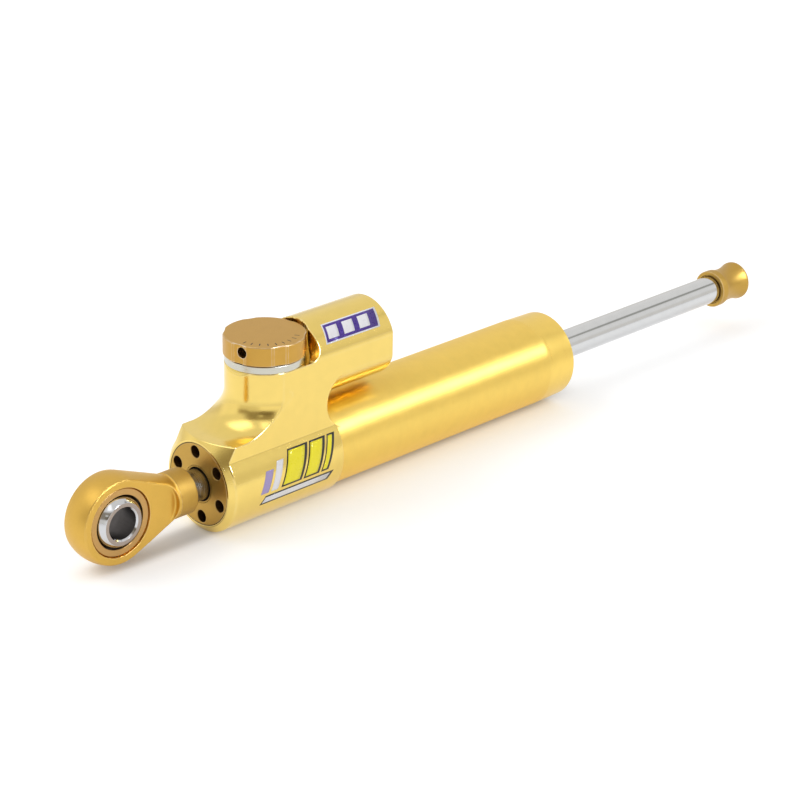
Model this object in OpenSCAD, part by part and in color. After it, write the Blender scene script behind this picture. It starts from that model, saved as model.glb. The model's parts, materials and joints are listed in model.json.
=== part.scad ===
// Linear steering damper for a motorcycle: a through-rod oil cylinder with a machined valve block,
// a side reservoir and a damping knob. Millimetres. +X runs along the rod from the eye to the end cap,
// +Z runs up the knob's axis, and the origin is the middle of the tube's clamp land.

/* [Barrel] */
// Outside diameter of the cylinder tube
tube_od = 30; // [28:0.5:34]
// Wall of the cylinder tube
tube_wall = 3; // [2.6:0.1:3.6]
// Length of the tube that a clamp may grip
clamp_land = 71; // [60:1:90]
// Length of the tube's tapered rear end
tail_len = 12.2; // [6:0.2:20]
// How far the rear end tapers in, on the radius
tail_drop = 0.3; // [0.1:0.1:0.6]
// Wall of the tube's spigot inside the valve block
spigot_wall = 2; // [1.6:0.1:2.4]
// How far the tube's front end tapers in, on the radius
land_relief = 0.05; // [0.03:0.01:0.1]

/* [Valve block] */
// Length of the sleeve that holds the tube
sleeve_len = 46.2; // [44:0.2:60]
// Step from the tube's surface to the sleeve's surface
sleeve_step = 1; // [0.8:0.1:2]
// Length of full tube diameter inside the sleeve
socket_len = 6; // [5:0.5:8]
// Width of the block across its flat sides
block_w = 24.8; // [24:0.2:28]
// How far the turret's round front stands out past half that width
boss_proud = 0.14; // [0.1:0.02:0.3]
// How far the turret's top lies above the reservoir's axis
boss_rise = 3.1; // [2.8:0.1:4]
// Radius of the hollow at the foot of the turret
scoop_r = 10.6; // [9:0.1:13]
// Height of the hollow's floor below the top of the sleeve
scoop_dip = 1.1; // [0.4:0.1:1.6]
// Rise of the nose cone along the axis for each millimetre of radius
nose_slope = 0.8; // [0.5:0.05:1.2]
// Width of the block's rim round the front gland
nose_rim = 0.6; // [0.4:0.1:1]
// Radius of the slot between the reservoir and the tube
slot_r = 9.2; // [8:0.1:10]
// How far the slot's centre lies past the end of the sleeve
slot_set = 5.3; // [4:0.1:7]

/* [Reservoir] */
// Gap between the reservoir and the tube
res_gap = 2.4; // [1:0.1:4]
// How far the reservoir's round wall stands out past half the block's width
res_proud = 0.7; // [0.4:0.1:1.2]
// Length of the reservoir past the end of the sleeve
overhang = 24.4; // [20:0.2:34]
// Gap between the reservoir's end and the clamp land
land_gap = 2; // [1:0.5:6]
// Bore of the reservoir
res_bore = 22; // [18:0.2:22.4]
// Length of the floating piston
float_len = 7; // [5:0.5:8]
// Oil space in front of the floating piston
float_room = 3; // [2.5:0.5:4]
// Length of the reservoir's end plug
plug_len = 4; // [3.5:0.5:5]
// Depth of the plug below the reservoir's end
plug_depth = 2.2; // [2:0.1:4]
// Turns of the reservoir's spring
spring_turns = 4; // [3:1:5]
// Wire diameter of the reservoir's spring
spring_wire = 1.2; // [0.8:0.1:1.4]

/* [Adjuster] */
// Distance from the block's nose to the knob's axis
knob_set = 27.3; // [26:0.1:30]
// Diameter of the knob
knob_od = 25.8; // [24:0.2:28]
// Height of the knob
knob_h = 6.3; // [6:0.1:9]
// Scallops round the knob
knob_scallops = 6; // [5:1:8]
// Depth of a scallop
scallop_depth = 0.45; // [0.2:0.05:0.8]
// Width of a scallop
scallop_w = 6.6; // [4:0.2:8]
// Direction of the knob's grub screw about the knob's axis, in degrees
grub_turn = 195; // [0:1:355]
// Direction of the first scallop about the knob's axis, in degrees
scallop_turn = 190; // [0:1:355]
// Diameter of the grub screw
grub_d = 3.4; // [2.6:0.2:3.6]
// Clearance round the knob in the reservoir's end
pocket_gap = 0.95; // [0.6:0.05:1.4]
// Distance from the knob's axis to the flat end of the reservoir
pocket_set = 12.5; // [11:0.1:13]
// Radius of the hollow at the foot of that end
pocket_r_foot = 4.6; // [3:0.2:6]
// Thickness of the index ring under the knob
ring_h = 2.35; // [1.8:0.05:2.6]
// Diameter of the index ring
ring_od = 24.8; // [24:0.2:25]
// Bore of the valve chamber in the turret
valve_bore = 17; // [16:0.2:19]
// Wall between the spigot and the valve chamber's floor
floor_wall = 4.5; // [3:0.1:5]
// Thickness of the valve seat
seat_h = 3; // [2.5:0.1:3.5]
// Height of the oil space over the valve seat
chamber_h = 4.5; // [4.4:0.1:5]
// Diameter of the adjuster's spindle
spindle_d = 8; // [7:0.2:8.4]
// Diameter of the needle's stem
needle_d = 4; // [3:0.2:4]
// Diameter of the orifice in the valve seat
orifice_d = 3.2; // [3:0.1:4]
// Diameter of the detent ball
detent_d = 2.5; // [2:0.1:2.8]
// Distance of the detent ball from the knob's axis
detent_set = 6.3; // [6.2:0.1:6.8]

/* [Rod and piston] */
// Diameter of the piston rod
rod_d = 10; // [8:0.5:11]
// Travel of the rod out of the block, towards the eye
stroke_out = 78; // [50:1:80]
// Travel of the rod into the block
stroke_in = 3; // [2:0.5:6]
// Room left between the end cap and the tube at full travel
cap_room = 13.8; // [5:0.1:20]
// Room left between the eye's neck and the block at full travel
eye_room = 3.1; // [2:0.1:8]
// Room left between the piston's clip and the rear gland at full travel
end_room = 4; // [3:0.5:8]
// Length of the piston
piston_len = 18; // [14:0.5:20]
// Width of the piston's slide ring
slide_ring_w = 5; // [4:0.5:6]
// Width of a piston clip
clip_w = 1.2; // [1:0.1:1.6]

/* [Glands] */
// Length of the glands
gland_len = 18; // [17:0.5:20]
// Ledge between the front gland and the spigot's outside, on the radius
gland_ledge = 0.65; // [0.5:0.05:1]
// Thread step of the rear gland over the tube's bore
rear_step = 0.3; // [0.2:0.05:0.35]
// Diameter of the pin-spanner holes
pin_hole_d = 4; // [3:0.1:4.4]
// Pin-spanner holes in a gland
pin_holes = 6; // [4:1:6]
// Distance of a pin-spanner hole's centre from the gland's rim
pin_inset = 2.85; // [2.6:0.05:3.4]
// Turn of the pin-spanner holes about the rod's axis, in degrees
pin_turn = -7; // [-30:1:30]
// Wall of the rod bush
bush_wall = 1.5; // [1:0.1:2]
// Wall of the rod seal
seal_wall = 3; // [2.5:0.1:3.4]
// Wall of the wiper
wiper_wall = 1.35; // [1:0.05:1.6]

/* [Rod eye] */
// Bore of the bearing ball
eye_bore = 10; // [8:0.5:10.5]
// Width of the bearing ball
ball_w = 12.6; // [12:0.2:13.4]
// Spherical diameter of the bearing ball
ball_d = 18.4; // [18:0.1:18.8]
// Thickness of the bearing liner
liner_t = 0.45; // [0.3:0.05:0.5]
// How far the liner's edges lie inside the race's faces
liner_inset = 1.5; // [1.4:0.1:2]
// Outside diameter of the bearing race
race_d = 22; // [21.6:0.1:23]
// Width of the bearing race
race_w = 9.2; // [8:0.1:10]
// Diameter of the eye's round head
head_d = 28.6; // [27:0.2:31]
// Width across the eye's flat sides
eye_w = 10.2; // [10:0.1:12]
// Distance from the eye's centre to the end of its neck
neck_reach = 28; // [26:0.1:32]
// Diameter of the neck
neck_d = 14.8; // [14:0.2:17]
// Length of the neck
neck_len = 6.5; // [5:0.1:8]
// Radius that the flat sides end in
flat_end_r = 10; // [8:0.2:12]
// How far short of the neck the flat sides end
flat_stop = 0.6; // [0.2:0.1:2]

/* [End cap] */
// Length of the end cap
cap_len = 14.8; // [12:0.2:20]
// Wall of the cap at its lip
cap_lip = 1.75; // [1.4:0.05:2.4]
// Wall of the cap at its waist
cap_waist = 0.95; // [0.8:0.05:1.3]
// Wall of the cap at its flared end
cap_flare = 1.9; // [1.5:0.05:2.6]

/* [Fits] */
// Clearance of a running fit, on the radius
run_fit = 0.03; // [0.02:0.01:0.06]
// Clearance of a seated piece, on the radius
seat_fit = 0.02; // [0.01:0.01:0.04]
// Clearance round a soft ring in its groove
soft_fit = 0.05; // [0.03:0.01:0.08]
// Gap between pieces that move past each other
free_gap = 0.3; // [0.25:0.05:0.4]

/* [Hidden] */
$fn = 96;
// How far a cutting shape runs past what it cuts
over = 1;

gold = "goldenrod";
dark_gold = "darkgoldenrod";
steel = "silver";
rubber = "dimgray";

// Radii of the barrel
tube_r = tube_od/2;
bore_r = tube_r - tube_wall;
spigot_r = bore_r + spigot_wall;
sleeve_r = tube_r + sleeve_step;
gland_r = spigot_r - gland_ledge;
rear_gland_r = bore_r + rear_step;

// Stations along the barrel
x_land0 = -clamp_land/2;
x_land1 = clamp_land/2;
x_tube1 = x_land1 + tail_len;
x_res1 = x_land0 - land_gap;
x_sleeve1 = x_res1 - overhang;
x_socket = x_sleeve1 - socket_len;
x_nose = x_sleeve1 - sleeve_len;
x_spigot = x_nose + gland_len;
x_rear = x_tube1 - gland_len;
x_knob = x_nose + knob_set;

// The block's outline
half_w = block_w/2;
boss_r = half_w + boss_proud;
res_r = half_w + res_proud;
res_z = tube_r + res_gap + res_r;
res_flat = sqrt(res_r*res_r - half_w*half_w);
boss_top = res_z + boss_rise;
scoop_z = sleeve_r - scoop_dip;
slot_lap = 0.4;
slot_x = x_sleeve1 + slot_set;
slot_z = res_z - res_flat - slot_r + slot_lap;
nose_r = gland_r + nose_rim;
edge = 0.4;

// The valve in the turret
valve_r = valve_bore/2;
z_floor = spigot_r + floor_wall;
z_seat = z_floor + seat_h;
z_cartridge = z_seat + chamber_h;
spindle_r = spindle_d/2;
flange_r = spindle_r + 1.5;
flange_h = 1;
z_flange = z_cartridge - free_gap - flange_h;
needle_r = needle_d/2;
needle_drop = 1.1;
collar_h = 1.2;
collar_rise = 3;
collar_r = needle_r + collar_rise;
pin_r = 0.6;
pin_set = needle_r + 1.8;
z_collar = z_seat + needle_drop;
stem_top = boss_top - 2.7;
port_r = 1.5;
bleed_r = 1;
bleed_set = 5.5;
gallery_r = 0.5;
gallery_wall = 0.35;
gallery_z = rear_gland_r + gallery_wall + gallery_r;
x_gallery = x_knob + bleed_set;
x_rear_port = x_rear - end_room/2;
gallery_plug_len = 4;

// The knob
knob_r = knob_od/2;
pocket_r = knob_r + pocket_gap;
z_ring = boss_top + ring_h;
z_knob = z_ring + free_gap;
z_knob1 = z_knob + knob_h;
knob_bore_top = z_knob1 - 1.4;
z_grub = z_knob + 0.6*knob_h;
grub_r = grub_d/2;
grub_len = 5.4;
scallop_r = (scallop_w*scallop_w/4 + scallop_depth*scallop_depth)/(2*scallop_depth);
detent_r = detent_d/2;
track_h = 0.9;
z_detent = z_knob + track_h - free_gap - detent_r;
detent_floor = 4;
z_detent_hole = z_cartridge + detent_floor;
detent_wire = 0.3;
detent_turns = 3;

// The reservoir's inside
res_bore_r = res_bore/2;
x_res_bore = x_knob + pocket_r + 3;
x_float = x_res_bore + float_room;
x_float1 = x_float + float_len;
x_plug1 = x_res1 - plug_depth;
x_plug = x_plug1 - plug_len;
circlip_w = 1;
circlip_bite = 0.7;
circlip_rise = 1.2;
circlip_gap = 4;
spring_r = res_bore_r - 2.4;

// The rod and piston
rod_r = rod_d/2;
stub_r = rod_r - 1;
stub_len = 9;
x_neck1 = x_nose - stroke_in - eye_room;
x_eye = x_neck1 - neck_reach;
x_cap = x_tube1 + stroke_out + cap_room;
x_cap1 = x_cap + cap_len;
cap_floor = 3;
x_rod1 = x_cap1 - cap_floor;
x_piston1 = x_rear - end_room - stroke_in - clip_w;
x_piston = x_piston1 - piston_len;
x_piston_mid = (x_piston + x_piston1)/2;
piston_r = bore_r - 0.35;
slide_ring_t = 1.9;
slide_ring_in = bore_r - run_fit - slide_ring_t;
piston_groove_r = slide_ring_in - 2;
clip_groove = 0.5;
clip_rise = 1.6;

// Stations inside a gland, from its face
wiper_set = 0.6;
wiper_end = 4;
bush_set = 5.5;
seal_set = 12;
gland_bore = rod_r + 0.6;
groove_set = 11.5;
groove_w = 2.4;
groove_depth = 1.6;
pin_depth = 5;

// Grooves for the other O-rings
tube_groove = 1;
tube_groove_w = 1.6;
x_tube_ring = x_socket - 3;
small_groove = 1.1;
small_groove_w = 1.6;
spindle_groove = 0.9;
spindle_groove_w = 1.4;
z_spindle_ring = z_cartridge + 2;
z_cartridge_ring = z_cartridge + 2;
x_float_ring = (x_float + x_float1)/2;
x_plug_ring = (x_plug + x_plug1)/2;

// The eye
ball_r = ball_d/2;
race_r = race_d/2;
head_r = head_d/2;
neck_r = neck_d/2;
shank_r = neck_r - 0.4;
liner_in = ball_r + run_fit;
liner_out = liner_in + liner_t;
race_in = liner_out + run_fit;
liner_w = race_w - 2*liner_inset;
x_shank = x_neck1 - neck_len;
shank_d = neck_reach - neck_len;
lean = atan2(shank_r, shank_d) + acos(head_r/norm([shank_d, shank_r]));
cone_r = 0.995*head_r;

// A cylinder along the rod's axis
module bar_x(x0, x1, r) {
    translate([x0, 0, 0]) rotate([0, 90, 0]) cylinder(h = x1 - x0, r = r);
}

// A cone along the rod's axis
module cone_x(x0, x1, r0, r1) {
    translate([x0, 0, 0]) rotate([0, 90, 0]) cylinder(h = x1 - x0, r1 = r0, r2 = r1);
}

// A plain ring round the rod's axis
module ring_x(x0, x1, r_out, r_in) {
    difference() {
        bar_x(x0, x1, r_out);
        bar_x(x0 - over, x1 + over, r_in);
    }
}

// A cylinder along the knob's axis
module bar_z(z0, z1, r) {
    translate([x_knob, 0, z0]) cylinder(h = z1 - z0, r = r);
}

// A plain ring round the knob's axis
module ring_z(z0, z1, r_out, r_in) {
    difference() {
        bar_z(z0, z1, r_out);
        bar_z(z0 - over, z1 + over, r_in);
    }
}

// A soft round ring that fills the space between two radii, less its clearance
module o_ring(r_out, r_in) {
    section = (r_out - r_in)/2 - soft_fit;
    rotate_extrude() translate([(r_out + r_in)/2, 0]) circle(r = section);
}

module o_ring_x(x, r_out, r_in) {
    translate([x, 0, 0]) rotate([0, 90, 0]) o_ring(r_out, r_in);
}

module o_ring_z(z, r_out, r_in) {
    translate([x_knob, 0, z]) o_ring(r_out, r_in);
}

// One unbroken coil of wire along +Z, worked out ring by ring
rings_a_turn = 8;
wire_sides = 6;

function coil_ring(r, wire_r, rise, i) = let(a = i*360/rings_a_turn) [
    for (j = [0 : wire_sides - 1])
        let(b = j*360/wire_sides, d = r + wire_r*cos(b))
        [d*cos(a), d*sin(a), rise*i/rings_a_turn + wire_r*sin(b)]];

function coil_points(r, wire_r, rise, turns) = [
    for (i = [0 : turns*rings_a_turn]) each coil_ring(r, wire_r, rise, i)];

function coil_sides(turns) = [
    for (i = [0 : turns*rings_a_turn - 1], j = [0 : wire_sides - 1])
        let(a = i*wire_sides + j, b = i*wire_sides + (j + 1)%wire_sides)
        each [[a, a + wire_sides, b], [b, a + wire_sides, b + wire_sides]]];

function coil_ends(turns) = let(last = turns*rings_a_turn*wire_sides) [
    for (j = [1 : wire_sides - 2])
        each [[0, j, j + 1], [last, last + j + 1, last + j]]];

function least_gap(points) = min([
    for (i = [0 : len(points) - 1 - rings_a_turn*wire_sides], j = [0 : wire_sides - 1])
        let(k = (floor(i/wire_sides) + rings_a_turn)*wire_sides + j)
        norm(points[i] - points[k])]);

module coil(r, wire_d, length, turns, label) {
    rise = (length - wire_d)/turns;
    points = coil_points(r, wire_d/2, rise, turns);
    echo(label, least_gap = least_gap(points));
    translate([0, 0, wire_d/2])
        polyhedron(points = points, faces = concat(coil_sides(turns), coil_ends(turns)));
}

// The space cut away in front of the turret: the turret's round wall, and the hollow at its foot
module front_scoop() {
    reach = sleeve_len;
    floor_x = boss_r + scoop_r;
    translate([x_knob, 0, 0])
        rotate_extrude(angle = 180, start = 90)
            union() {
                translate([floor_x, scoop_z + scoop_r]) circle(r = scoop_r);
                translate([floor_x, scoop_z]) square([reach, boss_top - scoop_z + over]);
                translate([boss_r, scoop_z + scoop_r])
                    square([scoop_r + over, boss_top - scoop_z - scoop_r + over]);
            }
}

// Side view of the block between its flat sides
module flank() {
    rotate([90, 0, 0])
        linear_extrude(height = block_w, center = true)
            difference() {
                polygon([[x_nose, 0], [x_sleeve1, 0], [x_sleeve1, slot_z], [slot_x, slot_z],
                    [slot_x, res_z], [x_knob, res_z], [x_knob, boss_top], [x_nose, boss_top]]);
                translate([slot_x, slot_z]) circle(r = slot_r);
            }
}

module slot() {
    translate([slot_x, 0, slot_z])
        rotate([90, 0, 0])
            cylinder(h = 2*sleeve_r + 2*over, r = slot_r, center = true);
}

// The space cut away behind the knob: the reservoir's flat end, and the hollow at its foot
module pocket() {
    wall_x = x_knob + pocket_set;
    foot_z = boss_top + pocket_r_foot;
    rotate([90, 0, 0])
        linear_extrude(height = block_w + 2*over, center = true)
            union() {
                translate([wall_x - pocket_r_foot, foot_z]) circle(r = pocket_r_foot);
                translate([x_knob - 2*over, boss_top])
                    square([pocket_set - pocket_r_foot + 2*over, res_r + over]);
                translate([x_knob - 2*over, foot_z]) square([pocket_set + 2*over, res_r + over]);
            }
}

module reservoir_wall() {
    length = x_res1 - x_knob + over;
    difference() {
        intersection() {
            translate([0, 0, res_z])
                union() {
                    bar_x(x_knob - over, x_res1 - edge, res_r);
                    cone_x(x_res1 - edge, x_res1, res_r, res_r - edge);
                }
            translate([x_knob - over - length/2, -half_w, 0])
                cube([2*length, block_w, res_z + res_r + over]);
        }
        bar_z(boss_top, res_z + res_r + over, pocket_r);
        pocket();
    }
}

module sleeve_wall() {
    bar_x(x_nose, x_sleeve1 - edge, sleeve_r);
    cone_x(x_sleeve1 - edge, x_sleeve1, sleeve_r, sleeve_r - edge);
}

// The machined block before it is bored
module block_blank() {
    length = x_res1 - x_nose + over;
    intersection() {
        union() {
            difference() {
                union() {
                    sleeve_wall();
                    flank();
                }
                front_scoop();
                slot();
            }
            reservoir_wall();
        }
        cone_x(x_nose, x_nose + length, nose_r, nose_r + length/nose_slope);
    }
}

module barrel_bores() {
    bar_x(x_nose - over, x_spigot + over, gland_r + seat_fit);
    bar_x(x_spigot, x_socket + over, spigot_r + seat_fit);
    bar_x(x_socket, slot_x, tube_r + seat_fit);
    bar_x(x_tube_ring - tube_groove_w/2, x_tube_ring + tube_groove_w/2, spigot_r + tube_groove);
}

module valve_bores() {
    bar_z(z_floor, boss_top + over, valve_r);
    bar_z(0, z_floor + over, port_r);
    translate([bleed_set, 0, 0]) bar_z(0, z_floor + over, bleed_r);
    translate([0, 0, z_seat + chamber_h/2 - bleed_r])
        bar_x(x_knob, x_res_bore + over, bleed_r);
}

module reservoir_bores() {
    translate([0, 0, res_z]) {
        bar_x(x_res_bore, x_res1 + over, res_bore_r);
        bar_x(x_plug1, x_plug1 + circlip_w, res_bore_r + circlip_bite);
    }
}

module valve_block() {
    color(gold)
        difference() {
            block_blank();
            barrel_bores();
            valve_bores();
            reservoir_bores();
        }
}

module cylinder_tube() {
    color(gold)
        difference() {
            union() {
                bar_x(x_spigot, x_socket + over, spigot_r);
                cone_x(x_socket, x_land0, tube_r - land_relief, tube_r);
                bar_x(x_land0, x_land1, tube_r);
                cone_x(x_land1, x_tube1, tube_r, tube_r - tail_drop);
            }
            bar_x(x_spigot - over, x_rear + over, bore_r);
            bar_x(x_rear, x_tube1 + over, rear_gland_r + seat_fit);
            bar_z(0, sleeve_r, port_r);
            translate([bleed_set, 0, 0]) bar_z(gallery_z, sleeve_r, bleed_r);
            translate([0, 0, gallery_z]) bar_x(x_gallery, x_tube1 + over, gallery_r);
            translate([x_rear_port, 0, 0]) cylinder(h = gallery_z, r = gallery_r);
        }
}

module tube_o_ring() {
    color(rubber) o_ring_x(x_tube_ring, spigot_r + tube_groove, spigot_r);
}

module gallery_plug() {
    color(steel)
        translate([0, 0, gallery_z])
            bar_x(x_tube1 - gallery_plug_len - edge, x_tube1 - edge, gallery_r - seat_fit);
}

// A gland with its face at x = 0 and its body along +X
module gland(r) {
    difference() {
        union() {
            cone_x(0, edge, r - edge, r);
            bar_x(edge, gland_len, r);
        }
        bar_x(-over, gland_len + over, gland_bore);
        bar_x(-over, wiper_end, rod_r + wiper_wall + seat_fit);
        bar_x(bush_set, seal_set + over, rod_r + bush_wall + seat_fit);
        bar_x(seal_set, gland_len + over, rod_r + seal_wall + seat_fit);
        ring_x(groove_set, groove_set + groove_w, r + over, r - groove_depth);
        for (i = [0 : pin_holes - 1])
            rotate([pin_turn + i*360/pin_holes, 0, 0])
                translate([0, 0, r - pin_inset])
                    bar_x(-over, pin_depth, pin_hole_d/2);
    }
}

module gland_o_ring(r) {
    o_ring_x(groove_set + groove_w/2, r + seat_fit, r - groove_depth);
}

module rod_bush() {
    ring_x(bush_set + seat_fit, seal_set - seat_fit, rod_r + bush_wall, rod_r + run_fit);
}

module rod_seal() {
    ring_x(seal_set + seat_fit, gland_len - edge, rod_r + seal_wall, rod_r + soft_fit);
}

module wiper() {
    difference() {
        bar_x(wiper_set, wiper_end - seat_fit, rod_r + wiper_wall);
        bar_x(wiper_set - over, wiper_end + over, rod_r + soft_fit);
        cone_x(wiper_set - over, wiper_set + edge, rod_r + 2*edge + over, rod_r);
    }
}

module at_front() {
    translate([x_nose, 0, 0]) children();
}

module at_rear() {
    translate([x_tube1, 0, 0]) rotate([0, 0, 180]) children();
}

module front_gland() {
    color(dark_gold) at_front() gland(gland_r);
}

module front_gland_o_ring() {
    color(rubber) at_front() gland_o_ring(gland_r);
}

module front_rod_bush() {
    color("peru") at_front() rod_bush();
}

module front_rod_seal() {
    color("darkolivegreen") at_front() rod_seal();
}

module front_wiper() {
    color(rubber) at_front() wiper();
}

module rear_gland() {
    color(dark_gold) at_rear() gland(rear_gland_r);
}

module rear_gland_o_ring() {
    color(rubber) at_rear() gland_o_ring(rear_gland_r);
}

module rear_rod_bush() {
    color("peru") at_rear() rod_bush();
}

module rear_rod_seal() {
    color("darkolivegreen") at_rear() rod_seal();
}

module rear_wiper() {
    color(rubber) at_rear() wiper();
}

module piston_rod() {
    color(steel)
        difference() {
            union() {
                bar_x(x_neck1 - stub_len, x_neck1 + over, stub_r);
                bar_x(x_neck1 + seat_fit, x_rod1 - edge, rod_r);
                cone_x(x_rod1 - edge, x_rod1, rod_r, rod_r - edge);
            }
            for (x = [x_piston - clip_w, x_piston1])
                ring_x(x, x + clip_w, rod_r + over, rod_r - clip_groove);
        }
}

module piston_clips() {
    color(steel)
        for (x = [x_piston - clip_w, x_piston1])
            ring_x(x + seat_fit, x + clip_w - seat_fit, rod_r + clip_rise, rod_r - clip_groove + seat_fit);
}

module piston() {
    groove_w = slide_ring_w + 2*soft_fit;
    color("lightsteelblue")
        difference() {
            ring_x(x_piston, x_piston1, piston_r, rod_r + seat_fit);
            ring_x(x_piston_mid - groove_w/2, x_piston_mid + groove_w/2, bore_r + over, piston_groove_r);
        }
}

module piston_o_ring() {
    color(rubber) o_ring_x(x_piston_mid, slide_ring_in, piston_groove_r);
}

module piston_ring() {
    color("saddlebrown")
        ring_x(x_piston_mid - slide_ring_w/2, x_piston_mid + slide_ring_w/2, bore_r - run_fit, slide_ring_in);
}

// The eye's outline, turned about the rod's axis
module eye_blank() {
    translate([x_eye, 0, 0]) sphere(r = head_r);
    cone_x(x_eye + cone_r*cos(lean), x_shank, cone_r*sin(lean), shank_r);
    bar_x(x_eye, x_neck1 - edge, shank_r - edge);
    bar_x(x_shank, x_neck1 - edge, neck_r);
    cone_x(x_neck1 - edge, x_neck1, neck_r, neck_r - edge);
}

// What is milled off one side of the eye, down to its flat
module eye_flat() {
    depth = head_r;
    end_x = x_shank - flat_stop - flat_end_r;
    translate([0, eye_w/2 + depth, 0])
        rotate([90, 0, 0])
            linear_extrude(height = depth)
                union() {
                    translate([x_eye - 2*head_r, -head_r - over])
                        square([end_x - x_eye + 2*head_r, 2*head_r + 2*over]);
                    translate([end_x, 0]) circle(r = flat_end_r);
                }
}

module bar_y(r, length) {
    translate([x_eye, 0, 0]) rotate([90, 0, 0]) cylinder(h = length, r = r, center = true);
}

module rod_eye() {
    color(dark_gold)
        difference() {
            eye_blank();
            eye_flat();
            mirror([0, 1, 0]) eye_flat();
            bar_y(race_r + seat_fit, head_d);
            bar_x(x_neck1 - stub_len - over, x_neck1 + over, stub_r + seat_fit);
        }
}

// Turns a half section about the bearing's bore axis
module turned_y() {
    translate([x_eye, 0, 0]) rotate([90, 0, 0]) rotate_extrude() children();
}

// A band of a half section, from one radius to another
module band(r_in, r_out, w) {
    translate([r_in, -w/2]) square([r_out - r_in, w]);
}

module bearing_race() {
    color("tan")
        turned_y()
            difference() {
                band(0, race_r, race_w);
                circle(r = race_in);
            }
}

module bearing_liner() {
    color("black")
        turned_y()
            intersection() {
                difference() {
                    circle(r = liner_out);
                    circle(r = liner_in);
                }
                band(0, race_r, liner_w);
            }
}

module bearing_ball() {
    color(steel)
        turned_y()
            intersection() {
                circle(r = ball_r);
                band(eye_bore/2, race_r, ball_w);
            }
}

module end_cap() {
    lip_r = rod_r + cap_lip;
    flare_r = rod_r + cap_flare;
    waist_r = rod_r + cap_waist;
    lip_len = 2.4;
    waist_len = cap_len - lip_len - 1;
    rise = flare_r - waist_r;
    hollow_r = (waist_len*waist_len/4 + rise*rise)/(2*rise);
    color(dark_gold)
        difference() {
            union() {
                bar_x(x_cap + edge, x_cap1 - edge, flare_r);
                cone_x(x_cap, x_cap + edge, lip_r - edge, lip_r);
                cone_x(x_cap1 - edge, x_cap1, flare_r, flare_r - edge);
            }
            ring_x(x_cap - over, x_cap + lip_len, flare_r + over, lip_r);
            translate([x_cap + lip_len + waist_len/2, 0, 0])
                rotate([0, 90, 0])
                    rotate_extrude() translate([waist_r + hollow_r, 0]) circle(r = hollow_r);
            bar_x(x_cap - over, x_rod1 + seat_fit, rod_r + seat_fit);
            bar_x(x_cap - over, x_cap + 2*edge, rod_r + edge);
        }
}

module index_ring() {
    color(steel)
        difference() {
            ring_z(boss_top, z_ring, ring_od/2, spindle_r + free_gap);
            translate([0, detent_set, 0]) bar_z(boss_top - over, z_ring + over, detent_r + run_fit);
        }
}

module adjuster_cartridge() {
    color(dark_gold)
        difference() {
            ring_z(z_cartridge, boss_top, valve_r - seat_fit, spindle_r + run_fit);
            ring_z(z_cartridge_ring - small_groove_w/2, z_cartridge_ring + small_groove_w/2,
                valve_r + over, valve_r - small_groove);
            translate([0, detent_set, 0]) bar_z(z_detent_hole, boss_top + over, detent_r + run_fit);
        }
}

module cartridge_o_ring() {
    color(rubber) o_ring_z(z_cartridge_ring, valve_r, valve_r - small_groove);
}

module valve_seat() {
    color("peru")
        difference() {
            bar_z(z_floor, z_seat, valve_r - seat_fit);
            bar_z(z_floor - over, z_seat + over, orifice_d/2);
            translate([bleed_set, 0, 0]) bar_z(z_floor - over, z_seat + over, bleed_r);
            translate([0, pin_set, 0]) bar_z(z_floor + over, z_seat + over, pin_r + seat_fit);
        }
}

module needle_guide_pin() {
    color(steel) translate([0, pin_set, 0]) bar_z(z_floor + over, z_flange - free_gap, pin_r);
}

module metering_needle() {
    tip_r = 0.3;
    shoulder_r = orifice_d/2;
    color(steel)
        difference() {
            union() {
                translate([x_knob, 0, z_seat - 1.7])
                    cylinder(h = 1.7 + needle_drop, r1 = tip_r, r2 = shoulder_r);
                bar_z(z_collar, z_collar + collar_h, collar_r);
                bar_z(z_collar, stem_top, needle_r);
            }
            translate([0, pin_set, 0]) bar_z(z_collar - over, z_collar + collar_h + over, pin_r + 2*run_fit);
        }
}

module adjuster_spindle() {
    color(steel)
        difference() {
            union() {
                bar_z(z_flange, z_flange + flange_h, flange_r);
                bar_z(z_flange, knob_bore_top - 0.2, spindle_r);
            }
            bar_z(z_flange - over, stem_top + over, needle_r + run_fit);
            ring_z(z_spindle_ring - spindle_groove_w/2, z_spindle_ring + spindle_groove_w/2,
                spindle_r + over, spindle_r - spindle_groove);
        }
}

module spindle_o_ring() {
    color(rubber) o_ring_z(z_spindle_ring, spindle_r + run_fit, spindle_r - spindle_groove);
}

// The knob's grub screw lies along +X of this frame
module at_grub() {
    translate([x_knob, 0, z_grub]) rotate([0, 0, grub_turn]) children();
}

module adjuster_knob() {
    color(dark_gold)
        difference() {
            union() {
                bar_z(z_knob, z_knob1 - edge, knob_r);
                translate([x_knob, 0, z_knob1 - edge])
                    cylinder(h = edge, r1 = knob_r, r2 = knob_r - edge);
            }
            bar_z(z_knob - over, knob_bore_top, spindle_r + seat_fit);
            ring_z(z_knob - over, z_knob + track_h, detent_set + detent_r + free_gap,
                detent_set - detent_r - free_gap);
            for (i = [0 : knob_scallops - 1])
                translate([x_knob, 0, 0])
                    rotate([0, 0, scallop_turn + i*360/knob_scallops])
                        translate([knob_r - scallop_depth + scallop_r, 0, z_knob - over])
                            cylinder(h = knob_h + 2*over, r = scallop_r);
            at_grub() bar_x(0, knob_r + over, grub_r);
        }
}

module knob_grub_screw() {
    color("dimgray")
        at_grub()
            difference() {
                bar_x(spindle_r + seat_fit, spindle_r + grub_len, grub_r - seat_fit);
                translate([spindle_r + grub_len - 2, 0, 0])
                    rotate([0, 90, 0]) cylinder(h = 2 + over, r = grub_r*0.58, $fn = 6);
            }
}

module detent_ball() {
    color(steel) translate([x_knob, detent_set, z_detent]) sphere(r = detent_r);
}

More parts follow.
